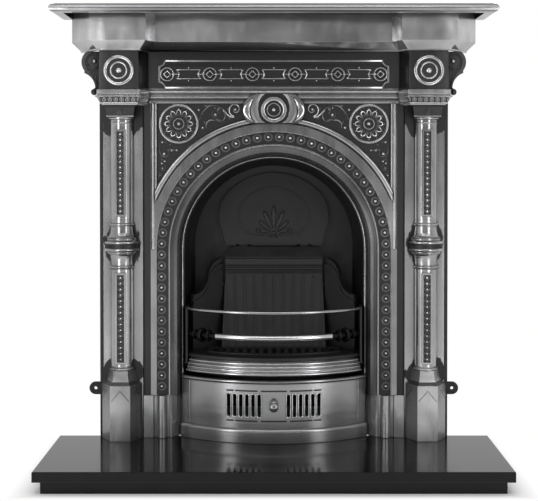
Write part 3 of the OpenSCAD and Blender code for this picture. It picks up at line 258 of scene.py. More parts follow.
def spiral(x, y, z, radius, start, turns, steps=28, end=0.18):
    """Points of a volute that winds inwards. start is in degrees, and turns is negative clockwise."""
    path = []
    for i in range(steps + 1):
        dx, dy = on_round(radius * (1 - (1 - end) * i / steps), start + turns * 360 * i / steps)
        path.append((x + dx, y + dy, z))
    return path


def taper(path, first, middle, last):
    """A radius for each point of a path, that changes evenly up to the middle and on to the end."""
    half = (len(path) - 1) / 2
    radii = []
    for i in range(len(path)):
        end = first if i < half else last
        radii.append(middle + (end - middle) * abs(i - half) / half)
    return radii


def rod(bm, path, first, middle, last, sides=8):
    """A tube along a path, with its first, middle and last radius."""
    tube(bm, path, taper(path, first, middle, last), sides)


def both_hands(bm):
    """Adds the mirror image of the carving, left for right."""
    copied = bmesh.ops.duplicate(bm, geom=bm.verts[:] + bm.edges[:] + bm.faces[:])["geom"]
    verts = [part for part in copied if isinstance(part, bmesh.types.BMVert)]
    bmesh.ops.scale(bm, verts=verts, vec=(-1, 1, 1))


def carve(bm, name, material, body="fireplace", both=False):
    """Makes the carving an object that rides on its body. both adds its mirror image, left for right."""
    if both:
        both_hands(bm)
    bmesh.ops.recalc_face_normals(bm, faces=bm.faces)
    bmesh.ops.transform(bm, matrix=FACE, verts=bm.verts)
    mesh = bpy.data.meshes.new(name)
    bm.to_mesh(mesh)
    bm.free()
    for face in mesh.polygons:
        face.use_smooth = True
    mesh.set_sharp_from_angle(angle=math.radians(40))
    mesh.materials.append(MATERIALS[material])
    piece = bpy.data.objects.new(name, mesh)
    bpy.context.scene.collection.objects.link(piece)
    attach(piece, body)


# ------------------------------------------------------------------ finishes


class Nodes:
    """Short way to build the nodes of a material or of the world."""

    def __init__(self, owner):
        self.owner = owner
        owner.use_nodes = True
        self.tree = owner.node_tree
        self.shader = next(n for n in self.tree.nodes if n.type in {"BSDF_PRINCIPLED", "BACKGROUND"})

    def add(self, kind, links=None, **settings):
        node = self.tree.nodes.new(kind)
        for key, value in settings.items():
            setattr(node, key, value)
        for key, value in (links or {}).items():
            self.give(node.inputs[key], value)
        return node

    def give(self, socket, value):
        if isinstance(value, bpy.types.NodeSocket):
            self.tree.links.new(value, socket)
        else:
            socket.default_value = value

    def math(self, operation, *values):
        return self.add("ShaderNodeMath", dict(enumerate(values)), operation=operation).outputs[0]

    def vector(self, operation, *values):
        return self.add("ShaderNodeVectorMath", dict(enumerate(values)), operation=operation)

    def place(self, scale=(1, 1, 1)):
        coords = self.add("ShaderNodeTexCoord")
        links = {"Vector": coords.outputs["Object"], "Scale": scale}
        return self.add("ShaderNodeMapping", links).outputs["Vector"]

    def noise(self, scale, detail=4.0, stretch=(1, 1, 1)):
        links = {"Vector": self.place(stretch), "Scale": scale, "Detail": detail}
        return self.add("ShaderNodeTexNoise", links).outputs["Fac"]

    def ramp(self, value, *stops):
        """Grey by value. Each stop is (position, grey)."""
        node = self.add("ShaderNodeValToRGB", {"Fac": value})
        first, last = node.color_ramp.elements
        first.position, last.position = stops[0][0], stops[-1][0]
        first.color, last.color = ((stop[1], stop[1], stop[1], 1) for stop in (stops[0], stops[-1]))
        for position, grey in stops[1:-1]:
            node.color_ramp.elements.new(position).color = (grey, grey, grey, 1)
        return node.outputs["Color"]

    def spread(self, value, low, high):
        """Grey from low to high where a noise goes from 0.3 to 0.7."""
        return self.ramp(value, (0.3, low), (0.7, high))

    def mix(self, factor, a, b, blend="MIX"):
        node = self.add("ShaderNodeMix", data_type="RGBA", blend_type=blend)
        for index, value in ((0, factor), (6, a), (7, b)):
            colour = isinstance(value, tuple)
            self.give(node.inputs[index], (*value, 1) if colour else value)
        return node.outputs[2]

    def times(self, a, b):
        return self.mix(1.0, a, b, "MULTIPLY")

    def bevelled(self, radius):
        """Normal that rounds the edges."""
        return self.add("ShaderNodeBevel", {"Radius": radius}, samples=4).outputs["Normal"]

    def nearby(self, distance):
        """How open a place is to what lies within a distance: 0 in a hollow, 1 in the open."""
        return self.add("ShaderNodeAmbientOcclusion", {"Distance": distance}, samples=5).outputs["AO"]

    def bump(self, height, strength, distance, normal=None):
        links = {"Height": height, "Strength": strength, "Distance": distance}
        if normal is not None:
            links["Normal"] = normal
        return self.add("ShaderNodeBump", links).outputs["Normal"]

    def finish(self, **sockets):
        for key, value in sockets.items():
            self.give(self.shader.inputs[key.replace("_", " ")], value)
        return self.owner


def burnished_iron(
    name, face, hollow_and_shade, rough=0.17, metal=1.0, reach=0.006, shade=0.35, side=1.0, patchy=0.2,
    streak=(30, 30, 2.5), wave=0.3, fine=0.04, floor=None, dark_bands=(), reach_x=None, shade_ovals=(),
):
    """Cast iron of the colour face, rubbed where a hand can reach it, and dark in the hollows and in painted
    shade.

    A hollow is as wide as reach, in metres. Whatever lies less than floor mm from the wall or further across
    than reach_x, where the polishing wheel can't reach, and every face that is turned to the wall stays dark,
    and so does whatever lies between the heights of a dark band. Each oval (x, y, half width, half height) in
    the list of ovals is painted shade in the same dark colour. shade is what is left of the brightness deep
    in a wide corner, as painted shade, and side is what is left on faces that are turned left or right, also
    painted shade. streak stretches the brush marks, patchy is how cloudy the brightness is, partly uneven
    polish and partly painted reflection patches, and wave and fine are the strengths of the broad and the
    small bumps.
    """
    n = Nodes(bpy.data.materials.new(name))
    spot = n.add("ShaderNodeSeparateXYZ", {0: n.place()}).outputs
    turned = n.add("ShaderNodeSeparateXYZ", {0: n.add("ShaderNodeNewGeometry").outputs["Normal"]}).outputs
    across = n.math("ABSOLUTE", spot["X"])

    # rubbed is where the iron is polished; the dark bands and the ovals below also clear it, as painted shade
    rubbed = n.ramp(n.nearby(reach), (0.35, 0.0), (0.58, 0.3), (0.85, 1.0))
    if floor is not None:
        edge = WALL - floor / 1000
        links = {"Value": spot["Y"], "From Min": edge + 0.0005, "From Max": edge - 0.0005}
        rubbed = n.times(rubbed, n.add("ShaderNodeMapRange", links).outputs[0])
    # a dark band keeps the dark colour; the capital's band is painted shade
    for low, high in dark_bands:
        inside = n.math("COMPARE", spot["Z"], HEARTH + (low + high) / 2000, (high - low) / 2000)
        rubbed = n.mix(inside, rubbed, (0.0, 0.0, 0.0))
    if reach_x is not None:
        rubbed = n.times(rubbed, n.math("COMPARE", spot["X"], 0.0, reach_x / 1000))
    # painted shade: the jamb gets the dark colour in ragged ovals round the capital, the collar and the base
    for x, y, wide, high in shade_ovals:
        flat = n.add("ShaderNodeCombineXYZ", {"X": across, "Z": spot["Z"]}).outputs[0]
        away = n.vector("SUBTRACT", flat, (x / 1000, 0, HEARTH + y / 1000)).outputs[0]
        away = n.vector("MULTIPLY", away, (1000 / wide, 1, 1000 / high)).outputs[0]
        away = n.vector("LENGTH", away).outputs["Value"]
        ragged = n.math("MULTIPLY_ADD", n.noise(60.0, 3.0, (1, 1, 0.4)), 0.5, away)
        rubbed = n.times(rubbed, n.ramp(ragged, (0.96, 0.0), (0.999, 1.0)))
    rubbed = n.times(rubbed, n.ramp(turned["Y"], (0.3, 1.0), (0.5, 0.0)))

    brush = n.noise(1.0, 3.0, streak)
    # cloudy brightness: partly uneven polish, partly painted reflection patches
    cloud = n.spread(n.noise(4.0), 1 - patchy * 1.25, 1 + patchy * 0.75)
    tone = n.times(cloud, n.spread(brush, 0.9, 1.06))
    # painted shade: darker where other surfaces lie within 55 mm, down to shade deep in a wide corner
    tone = n.times(tone, n.ramp(n.nearby(0.055), (0.48, shade), (0.86, 1.0)))
    # painted shade: faces turned left or right are darker, down to side
    tone = n.times(tone, n.ramp(n.math("ABSOLUTE", turned["X"]), (0.4, 1.0), (0.7, side)))
    colour = n.mix(rubbed, hollow_and_shade, n.times(tone, face))
    normal = n.bump(n.noise(9.0, 2.0, (1, 1, 0.5)), wave, 0.008, n.bevelled(0.0013))
    normal = n.bump(n.noise(700.0, 2.0), fine, 0.0004, normal)
    gloss = n.mix(rubbed, (0.45, 0.45, 0.45), n.spread(brush, rough - 0.03, rough + 0.06))
    return n.finish(Base_Color=colour, Roughness=gloss, Normal=normal, Metallic=metal)


def blacked_iron(name, tone):
    """Matt black heat-proof finish over rough cast iron, with a little grey dust on it."""
    n = Nodes(bpy.data.materials.new(name))
    colour = n.times(n.ramp(n.noise(9.0, 5.0), (0.3, 0.8), (0.75, 1.2)), tone)
    normal = n.bump(n.noise(300.0, 3.0), 0.14, 0.0005, n.bevelled(0.0015))
    gloss = n.spread(n.noise(30.0, 3.0), 0.39, 0.53)
    return n.finish(Base_Color=colour, Roughness=gloss, Normal=normal, Metallic=0.0)


def polished_granite(name, tone):
    """Black granite with fine grey and brown crystals under a smooth polish."""
    n = Nodes(bpy.data.materials.new(name))
    cells = n.add("ShaderNodeTexVoronoi", {"Vector": n.place(), "Scale": 520.0}).outputs["Distance"]
    some = n.ramp(n.noise(260.0, 2.0), (0.58, 0.0), (0.66, 1.0))
    fleck = n.times(n.ramp(cells, (0.0, 1.0), (0.16, 0.0)), some)
    body = n.times(n.ramp(n.noise(40.0, 6.0), (0.35, 0.7), (0.7, 1.5)), tone)
    colour = n.mix(fleck, body, (0.07, 0.068, 0.065))
    gloss = n.ramp(n.noise(7.0, 3.0), (0.3, 0.10), (0.8, 0.15))
    return n.finish(Base_Color=colour, Roughness=gloss, Specular_IOR_Level=0.28)


def mild_steel(name, tone):
    """Dull rolled steel."""
    n = Nodes(bpy.data.materials.new(name))
    colour = n.times(n.spread(n.noise(25.0), 0.75, 1.1), tone)
    gloss = n.spread(n.noise(120.0, 3.0), 0.35, 0.5)
    normal = n.bump(n.noise(600.0, 2.0), 0.1, 0.0003)
    return n.finish(Base_Color=colour, Roughness=gloss, Normal=normal, Metallic=0.9)


# ------------------------------------------------------------------ settings


def colour_setting(name, description, default):
    return FloatVectorProperty(name=name, description=description, subtype="COLOR", size=3, default=default)


class FireplaceFinishes(bpy.types.PropertyGroup):
    """Colours of the fireplace."""

    bright_iron: colour_setting("Bright iron", "Faces that are rubbed bright", (0.42, 0.42, 0.425))
    # Dull iron is iron rubbed less and also painted shade: it darkens the corner blocks, the brackets, the
    # column bands, the cove and the bead cups.
    dull_iron: colour_setting("Dull iron", "Faces that are rubbed less", (0.17, 0.17, 0.173))
    # Dark iron is the iron left in the hollows, and also the painted shade of the jamb's ovals and the
    # capital's bell.
    dark_iron: colour_setting("Dark iron", "Hollows of the burnished castings", (0.05, 0.05, 0.0515))
    black_iron: colour_setting("Black iron", "Firebox and grate", (0.006, 0.006, 0.0062))
    granite: colour_setting("Granite", "Hearth stone", (0.003, 0.003, 0.0033))
    steel: colour_setting("Steel", "Bolts and ash pan", (0.20, 0.20, 0.205))


def count_setting(name, description, default, low, high):
    return IntProperty(name=name, description=description, default=default, min=low, max=high)


class FireplaceCarving(bpy.types.PropertyGroup):
    """Counts and sizes of the carved ornament."""

    petals: count_setting("Petals", "Petals of a spandrel rosette", 12, 6, 24)
    frieze_rings: count_setting("Frieze rings", "Rings along the frieze", 6, 2, 10)
    frieze_pitch: FloatProperty(
        name="Frieze pitch", description="Distance between the frieze's rings, in millimetres", default=119.5
    )
    arch_beads: count_setting("Arch beads", "Beads round the arch", 32, 12, 60)
    shaft_beads: count_setting("Shaft beads", "Beads in the panel of a shaft", 15, 5, 30)


class FireplaceStudio(bpy.types.PropertyGroup):
    """Camera and light."""

    distance: FloatProperty(
        name="Distance", description="Camera to the wall plane", default=3.221, unit="LENGTH"
    )
    height: FloatProperty(
        name="Height", description="Camera over the hearth", default=0.7845, unit="LENGTH"
    )
    tilt: FloatProperty(
        name="Tilt", description="Downward tilt of the camera", default=math.radians(1.03), subtype="ANGLE"
    )
    strips: FloatProperty(
        name="Strip lights", description="Power of each upright strip light, in watts", default=6.2
    )
    top: FloatProperty(
        name="Top light", description="Power of the light overhead, in watts", default=14.0
    )
    front: FloatProperty(
        name="Front", description="Brightness of the room behind the camera", default=0.25, min=0, max=1
    )


# ------------------------------------------------------------------ which piece has which finish

BRIGHT = "bright_iron"
DULL = "dull_iron"
COLLAR_MIDDLE = (span("right_collar")[0].y + span("right_collar")[1].y) / 2

# Each kind of burnished iron: the colour that it starts from, what its faces are times that colour and
# its hollows times dark iron, and what differs from burnished_iron's own values. Some of this is painted
# light: the foot and rim kinds are brightened as painted highlights, the cornice partly so, and the block
# and dull kinds are darkened as painted shade.
KINDS = {
    "iron": (BRIGHT, 1.0, 1.0, {}),
    "shelf": (BRIGHT, 0.9, 1.0, {"shade": 0.6, "streak": (2, 12, 12)}),
    # partly painted highlight: the cornice's face is brighter and cloudier than plain iron
    "cornice": (BRIGHT, 1.5, 1.0, {
        "streak": (3, 12, 10), "wave": 0.9, "shade": 0.6, "reach": 0.003, "metal": 0.85, "patchy": 0.36,
    }),
    "jamb": (BRIGHT, 1.15, 0.75, {
        "reach_x": 480, "floor": JAMB_FACE - 1.5,
        # painted shade: dark ovals on the jamb round the capital, the collar and the base
        "shade_ovals": (
            (COLUMN_X, SHAFT_HIGH.y + 48, 96, 118),
            (COLUMN_X, (FOOT_HIGH.y + SHAFT_LOW.y) / 2, 68, 102),
            (COLUMN_X, FOOT_LOW.y - 22, 78, 66),
        ),
    }),
    "shaft": (BRIGHT, 1.15, 1.0, {"shade": 0.5}),
    "wave": (BRIGHT, 0.6, 1.0, {"reach": 0.002, "shade": 0.9}),
    # painted highlight: the leg plinths' faces are 1.4 times the bright iron
    "foot": (BRIGHT, 1.4, 1.0, {"rough": 0.2, "metal": 0.8, "wave": 0.8, "shade": 0.8, "patchy": 0.4}),
    # painted shade: the faces of the column bases that turn left or right are half as bright
    "base": (BRIGHT, 1.1, 1.0, {
        "rough": 0.28, "metal": 0.7, "side": 0.5, "wave": 0.9, "shade": 0.6, "patchy": 0.5,
        "dark_bands": ((FOOT_LOW.y - 50.6, FOOT_LOW.y - 41),),
    }),
    "relief": (BRIGHT, 1.35, 1.0, {"reach": 0.003, "shade": 0.8}),
    # painted highlight: the slot rims and the shaft pearls are twice the bright iron
    "rim": (BRIGHT, 2.0, 1.0, {"reach": 0.001, "shade": 1.0}),
    "vine": (BRIGHT, 1.3, 1.9, {"floor": FIELD + 1.9, "shade": 0.9, "reach": 0.002}),
    "petals": (BRIGHT, 1.2, 1.7, {"floor": FIELD + 2.9, "shade": 0.9, "reach": 0.002}),
    "plate": (BRIGHT, 1.05, 1.0, {"floor": FIELD + 1.5, "shade": 0.55, "reach_x": 347, "patchy": 0.3}),
    "rosette": (BRIGHT, 1.0, 1.0, {"floor": FIELD + 3.0, "shade": 0.8}),
    "channel": (BRIGHT, 1.0, 1.0, {"floor": CHANNEL_FLOOR + 1.5}),
    "channel carving": (DULL, 0.9, 1.0, {"rough": 0.3}),
    "cove": (DULL, 0.8, 1.0, {"rough": 0.24, "wave": 0.5, "metal": 0.75, "reach": 0.002, "patchy": 0.5}),
    "frieze": (BRIGHT, 1.2, 1.0, {"floor": FRIEZE_HIGH.z - 1.4}),
    "pearls": (BRIGHT, 1.3, 0.55, {"floor": JAMB_FACE + SHAFT_RADIUS + 0.4, "shade": 0.9}),
    "roundel": (BRIGHT, 1.5, 1.0, {"floor": BLOCK_FACE + 2.6, "shade": 0.8}),
    "keystone": (BRIGHT, 1.2, 1.0, {"floor": BOSS_LOW.z + 1.0, "shade": 0.8}),
    "boss": (BRIGHT, 1.2, 1.0, {"floor": BOSS_HIGH.z - 2.4, "shade": 0.8}),
    "smooth": (BRIGHT, 1.35, 1.0, {"reach": 0.002, "shade": 0.9}),
    # painted shade: the corner blocks, the brackets and the leaves of the column bands are kept dark
    "block": (DULL, 0.55, 1.0, {"rough": 0.24}),
    "dull": (DULL, 0.42, 1.0, {"rough": 0.26}),
    # painted shade: the band over the bell under the block keeps the dark colour
    "capital": (BRIGHT, 1.3, 1.0, {
        "dark_bands": ((CAPITAL_LOW.y + 29, CAPITAL_HIGH.y + 5),), "shade": 0.5,
    }),
    "collar": (BRIGHT, 1.0, 1.0, {
        "rough": 0.22, "dark_bands": ((COLLAR_MIDDLE - 12, COLLAR_MIDDLE + 2),), "shade": 0.5,
    }),
    "bar": (BRIGHT, 1.05, 1.0, {
        "rough": 0.24, "streak": (2.5, 30, 30), "fine": 0.0, "wave": 0.02, "shade": 0.9, "reach": 0.002,
    }),
    "lower bar": (BRIGHT, 1.9, 0.4, {
        "rough": 0.24, "streak": (2.5, 30, 30), "fine": 0.0, "wave": 0.02, "shade": 0.9, "reach": 0.002,
        "reach_x": 164,
    }),
    "cover": (BRIGHT, 0.86, 1.0, {
        "rough": 0.21, "metal": 0.85, "streak": (2, 12, 40), "fine": 0.0, "wave": 0.05, "shade": 0.7,
    }),
    "fret": (BRIGHT, 1.1, 0.6, {
        "rough": 0.2, "streak": (2, 12, 40), "fine": 0.0, "wave": 0.03, "reach": 0.004, "shade": 0.8,
    }),
}

# The finish of each CAD node. Nodes that aren't named here are plain burnished iron.
DRESSED = {
    "shelf": ["mantel_shelf"],
    "cornice": ["cornice"],
    "jamb": ["left_jamb", "right_jamb"],
    "base": ["left_column_base", "right_column_base"],
    "shaft": ["left_upper_shaft", "right_upper_shaft", "left_lower_shaft", "right_lower_shaft"],
    "foot": ["left_leg_plinth", "right_leg_plinth"],
    "channel": ["arch_channel"],
    "cove": ["arch_cove"],
    "plate": ["arch_plate"],
    "rosette": ["left_rosette", "right_rosette"],
    "frieze": ["frieze_panel"],
    "pearls": ["left_pearl_strips", "right_pearl_strips"],
    "roundel": ["left_roundel", "right_roundel"],
    "collar": ["left_collar", "right_collar"],
    "block": ["left_corner_block", "right_corner_block"],
    "dull": ["left_scroll_bracket", "right_scroll_bracket"],
    "capital": ["left_capital", "right_capital"],
    "keystone": ["keystone"],
    "boss": ["keystone_boss"],
    "relief": ["arch_beading", "left_abacus", "right_abacus"],
    "bar": ["top_bar"],
    "lower bar": ["lower_bar"],
    "cover": ["ash_cover", "cover_knob"],
    "fret": ["fret_moulding"],
    "black": [
        "firebox_shell", "firebox_back", "ash_pit_floor", "fireback", "fireback_ledge", "left_cheek",
        "right_cheek", "grate_frame", "bottom_grate", "register_door", "left_bar_plate", "right_bar_plate",
        "door_hinge_pin",
    ],
    "granite": ["hearth_slab", "hearth_slips"],
    "steel": ["ash_pan", "shelf_screws", "column_bolts", "jamb_bolts"],
}
MATERIALS = {}


def tinted(colour, times):
    return tuple(part * times for part in colour)


class FIREPLACE_OT_finishes(bpy.types.Operator):
    """Give every casting, bar, bolt and stone its finish"""

    bl_idname = "fireplace.finishes"
    bl_label = "Finishes"

    def execute(self, context):
        colours = context.scene.fireplace_finishes
        for key, (start, face, hollow, more) in KINDS.items():
            face = tinted(getattr(colours, start), face)
            MATERIALS[key] = burnished_iron(key + " iron", face, tinted(colours.dark_iron, hollow), **more)
        MATERIALS["groove"] = blacked_iron("groove", tinted(colours.dark_iron, 0.35))
        MATERIALS["black"] = blacked_iron("blacked iron", tuple(colours.black_iron))
        MATERIALS["granite"] = polished_granite("black granite", tuple(colours.granite))
        MATERIALS["steel"] = mild_steel("mild steel", tuple(colours.steel))
        finish_of = {node: key for key, nodes in DRESSED.items() for node in nodes}
        for name, node in frame["nodes"].items():
            node.data.materials.clear()
            node.data.materials.append(MATERIALS[finish_of.get(name, "iron")])
        return {"FINISHED"}


class FIREPLACE_OT_rosettes(bpy.types.Operator):
    """Carve the curled petals and the rope of the two spandrel rosettes"""

    bl_idname = "fireplace.rosettes"
    bl_label = "Rosettes"

    def execute(self, context):
        petals = context.scene.fireplace_carving.petals
        strands = 96
        dots_at, pearls_at, rope_at = 43.5, 14.5, 48.0
        z = FIELD + 1.5
        bm = bmesh.new()
        outline = [(-3.0, 19, 0), (-5.6, 29, 0.6), (-4.6, 36, 1.4)]
        outline += [(0, 39, 2.0)] + [(-x, y, lift) for x, y, lift in reversed(outline)]
        rod(bm, curve(outline, 4), 0.7, 2.3, 0.7)
        rod(bm, curve([(0, 20, 0), (0, 26, 0.3), (0, 33, 0)], 3), 0.5, 1.2, 0.5, 6)
        petal = as_shape(bm, "petal")
        bm = bmesh.new()
        dot = button_shape(1.7, 2.0, 8)
        pearl = button_shape(1.9, 2.2, 8)
        strand = petal_shape(8.5, 2.3, 1.0)
        for i in range(petals):
            turn = 360 * i / petals
            between = turn + 180 / petals
            stamp(bm, petal, at(ROSETTE.x, ROSETTE.y, z, turn))
            stamp(bm, dot, at(ROSETTE.x, ROSETTE.y, z, turn) @ at(0, dots_at))
            stamp(bm, pearl, at(ROSETTE.x, ROSETTE.y, z + 1.6, between) @ at(0, pearls_at))
        for i in range(strands):
            stamp(bm, strand, at(ROSETTE.x, ROSETTE.y, z + 3.2, 360 * i / strands) @ at(1, rope_at))
        carve(bm, "rosette_petals", "petals", both=True)
        return {"FINISHED"}


class FIREPLACE_OT_vines(bpy.types.Operator):
    """Carve the scrolling vines that fill the spandrels"""

    bl_idname = "fireplace.vines"
    bl_label = "Spandrel vines"

    def execute(self, context):
        bm = bmesh.new()
        z = FIELD + 0.6

        def stem(points, first, middle, last):
            rod(bm, curve([(x, y, z) for x, y in points]), first, middle, last)

        def leaves(places, slender, rise):
            """Leaves, each (x, y, turn, length)."""
            for x, y, turn, size in places:
                stamp(bm, leaf_shape(size, size * slender, rise), at(x, y, z - 0.6, turn))

        # upper stem: up from beside the rosette, over, and down into the volute by the keystone
        stem([(210, 901), (205, 913), (199, 921), (193, 928), (185, 935), (176, 938), (165, 938), (155, 935)],
             0.7, 1.7, 0.8)
        stem([(152, 934), (143, 927), (137, 920), (130, 912), (121, 906), (112, 905)], 0.8, 1.9, 1.9)
        rod(bm, spiral(108.5, 927, z, 20, -80, 1.35), 1.9, 1.9, 0.9)
        stem([(139, 921), (137, 908), (142, 897), (150, 890)], 0.9, 1.5, 0.7)
        # lower stem, that curls back to the rosette
        stem([(162, 899), (170, 896), (179, 897), (187, 892), (191, 884), (190, 875)], 0.9, 1.8, 1.0)
        rod(bm, spiral(165, 912.5, z, 11, 60, -0.9), 0.8, 1.2, 0.7)
        leaves((
            (184, 934, -65, 15), (152, 934, -145, 17), (163, 902, 140, 13), (186, 939, 100, 9),
            (171, 939, -100, 11), (136, 913, -25, 12), (148, 893, -60, 12), (127, 909, 160, 12),
            (176, 897, 55, 9), (193, 886, -20, 10), (211, 897, 30, 9), (204, 913, 55, 8), (158, 921, 150, 9),
            (131, 925, 20, 9),
        ), 0.42, 2.4)
        # below the rosette, down the narrow end of the spandrel
        rod(bm, spiral(308.5, 802, z, 13, 130, 0.9), 0.8, 1.3, 0.7)
        rod(bm, spiral(314, 762, z, 11, 100, 0.85), 0.7, 1.2, 0.6)
        stem([(321, 832), (322, 818), (321, 806), (316, 790), (320, 775)], 0.6, 1.2, 0.7)
        stem([(322, 752), (324, 735), (325, 712)], 0.8, 1.1, 0.5)
        stem([(300, 812), (292, 815), (283, 812), (275, 812)], 0.7, 1.4, 0.9)
        leaves((
            (292, 811, -80, 11), (282, 810, -60, 11), (283, 815, -115, 10), (311, 784, -70, 9),
            (320, 777, 100, 9), (296, 826, 60, 9), (321, 745, 80, 9), (323, 728, 60, 8),
            (303, 833, -60, 9),
        ), 0.45, 2.2)
        # berries, each (x, y, radius)
        for x, y, radius in (
            (212, 926, 3.6), (200.5, 875.5, 4.0), (165, 912.5, 4.6), (108.5, 927, 4.4), (315, 835, 3.8),
            (309, 802, 5.0), (316, 775, 3.2), (308, 781, 3.2), (288, 811, 2.6), (274, 812, 3.2),
            (321.5, 741, 2.4), (141, 923, 3.0), (314, 762, 2.4), (166, 931, 2.2),
        ):
            stamp(bm, button_shape(radius, radius * 0.95, 10), at(x, y, z))
        carve(bm, "spandrel_vines", "vine", both=True)
        return {"FINISHED"}


class FIREPLACE_OT_frieze(bpy.types.Operator):
    """Carve the frieze: rings with diamonds, linked by cartouches, between two long lines"""

    bl_idname = "fireplace.frieze"
    bl_label = "Frieze"

    def execute(self, context):
        rings = context.scene.fireplace_carving.frieze_rings
        pitch = context.scene.fireplace_carving.frieze_pitch
        outermost = pitch * (rings - 1) / 2
        z = FRIEZE_HIGH.z - 2.2
        bm = bmesh.new()
        ring = ring_shape(18.0, 1.7, 0.75, 40)
        diamond_side = bar_shape(14.5, 2.4, 1.2)
        link = bar_shape(23, 2.2, 1.1)
        for i in range(rings):
            x = pitch * i - outermost
            stamp(bm, ring, at(x, FRIEZE_MID, z))
            for corner in (45, 135, 225, 315):
                dx, dy = on_round(6.9, corner)
                stamp(bm, diamond_side, at(x + dx, FRIEZE_MID + dy, z, corner + 90))
            for side in BOTH_SIDES:
                if abs(x + side * 22) < outermost:
                    stamp(bm, link, at(x + side * 24.5, FRIEZE_MID, z))
        rail = bar_shape(62, 2.3, 1.1)
        stud = button_shape(2.6, 2.4)
        bow = [on_round(14.8, angle) for angle in range(-62, 63, 8)]
        for i in range(rings - 1):
            x = pitch * (i + 0.5) - outermost
            for side in BOTH_SIDES:
                stamp(bm, rail, at(x, FRIEZE_MID + side * 12.6, z))
                stamp(bm, stud, at(x, FRIEZE_MID + side * 18, z))
                rod(bm, [(x + side * (42 - dx), FRIEZE_MID + dy, z) for dx, dy in bow], 0.9, 1.7, 0.9)
        carve(bm, "frieze_carving", "relief")
        bm = bmesh.new()
        line = bar_shape(2 * (FRIEZE_HIGH.x - 47.7), 4.6, 0.7)
        for side in BOTH_SIDES:
            stamp(bm, line, at(0, FRIEZE_MID + side * 37.5, FRIEZE_HIGH.z - 0.4))
        carve(bm, "frieze_lines", "iron")
        return {"FINISHED"}


class FIREPLACE_OT_shafts(bpy.types.Operator):
    """Carve the guilloche and the pearls in the panels of the four shafts"""

    bl_idname = "fireplace.shafts"
    bl_label = "Shaft panels"

    def execute(self, context):
        beads = context.scene.fireplace_carving.shaft_beads
        bm = bmesh.new()
        pearls = bmesh.new()
        bead = button_shape(3.2, 3.2)
        swing, lift, thick = 7.2, 0.5, 0.95
        z = JAMB_FACE + SHAFT_RADIUS + 0.3
        low, high = span("right_pearl_strips")
        lower_panel = (low.y, FOOT_HIGH.y - (low.y - FOOT_LOW.y))
        upper_panel = (SHAFT_LOW.y + (SHAFT_HIGH.y - high.y), high.y)
        for start, end in (lower_panel, upper_panel):
            pitch = (end - start) / beads
            for side in BOTH_SIDES:
                wave = []
                for i in range(beads * 8 + 1):
                    share = side * math.sin(math.pi * i / 8)
                    wave.append((COLUMN_X + swing * share, start + pitch * i / 8, z + lift * share))
                tube(bm, wave, [thick] * len(wave), 6)
            for i in range(beads):
                stamp(pearls, bead, at(COLUMN_X, start + pitch * (i + 0.5), z))
        carve(bm, "shaft_guilloche", "wave", both=True)
        carve(pearls, "shaft_pearls", "rim", both=True)
        return {"FINISHED"}


class FIREPLACE_OT_arch(bpy.types.Operator):
    """Carve the low ring round each bead of the arch, and the lip along the cove"""

    bl_idname = "fireplace.arch"
    bl_label = "Arch beading"

    def execute(self, context):
        count = context.scene.fireplace_carving.arch_beads
        bead_low, bead_high = span("arch_beading")
        radius = bead_high.x - 5
        pitch = radius * math.pi / count
        straight_rows = int((SPRING - bead_low.y) / pitch + 0.5)
        z = CHANNEL_FLOOR + 0.2
        bm = bmesh.new()
        cup = ring_shape(10.4, 2.6, 0.5, 28, 6)
        for i in range(count):
            stamp(bm, cup, at(0, SPRING, z, (i + 0.5) * 180 / count - 90) @ at(0, radius))
        for i in range(straight_rows):
            for side in BOTH_SIDES:
                stamp(bm, cup, at(side * radius, SPRING - (i + 0.5) * pitch, z, -90 * side))
        carve(bm, "arch_bead_cups", "channel carving")

        lip_inset, lip_thick = 32, 1.5
        cove = span("arch_cove")[0]
        edge, foot = -cove.x - lip_inset, cove.y + 4
        z = surface("arch_cove", edge, SPRING)
        lip = [(-edge, foot, z), (-edge, (foot + SPRING) / 2, z)]
        for angle in range(180, -1, -4):
            x, y = on_round(edge, angle)
            lip.append((x, SPRING + y, z))
        lip += [(edge, (foot + SPRING) / 2, z), (edge, foot, z)]
        bm = bmesh.new()
        tube(bm, lip, [lip_thick] * len(lip))
        carve(bm, "cove_lip", "relief")
        return {"FINISHED"}


class FIREPLACE_OT_columns(bpy.types.Operator):
    """Carve the leaves of the capitals and of the bands over them, and the upright lines of the collars"""

    bl_idname = "fireplace.columns"
    bl_label = "Column bands"

    def execute(self, context):
        bm = bmesh.new()
        line = bar_shape(1.1, 15, 0.5)
        for i in range(-13, 14):
            stamp(bm, line, round_column(COLUMN_X, FOOT_HIGH.y + 61, JAMB_FACE, i * 6, SHAFT_RADIUS + 14))
        # leaves along the sloping band under the block, on its front and on its outer side
        outline = [(-3, 0, 0), (-6.5, 6, 0.6), (-3.5, 13, 0.8)]
        outline += [(0, 15, 0.4)] + [(-x, y, lift) for x, y, lift in reversed(outline)]
        edge = bmesh.new()
        rod(edge, curve(outline, 4), 0.5, 0.8, 0.5, 6)
        leaf = as_shape(edge, "leaf outline")
        rib = leaf_shape(14, 5, 1.2)
        y = span("right_abacus")[0].y + 8
        slope = Matrix.Rotation(0.62, 4, "X")
        outward = Matrix.Rotation(math.pi / 2, 4, "Y")
        places = [at(COLUMN_X - 48 + 16 * i, y, 82.5) @ slope for i in range(7)]
        places += [at(COLUMN_X + 50.5, y, 30 + 15.5 * i) @ outward @ slope for i in range(4)]
        for place in places:
            stamp(bm, leaf, place)
            stamp(bm, rib, place)
        # leaves that lie against the bell
        tall = leaf_shape(26, 13, 1.6)
        lean = Matrix.Rotation(0.32, 4, "X")
        for i in range(-3, 4):
            place = round_column(COLUMN_X, CAPITAL_HIGH.y - 34, JAMB_FACE, i * 22, SHAFT_RADIUS + 3)
            stamp(bm, tall, place @ lean)
        carve(bm, "column_bands", "dull", both=True)
        return {"FINISHED"}


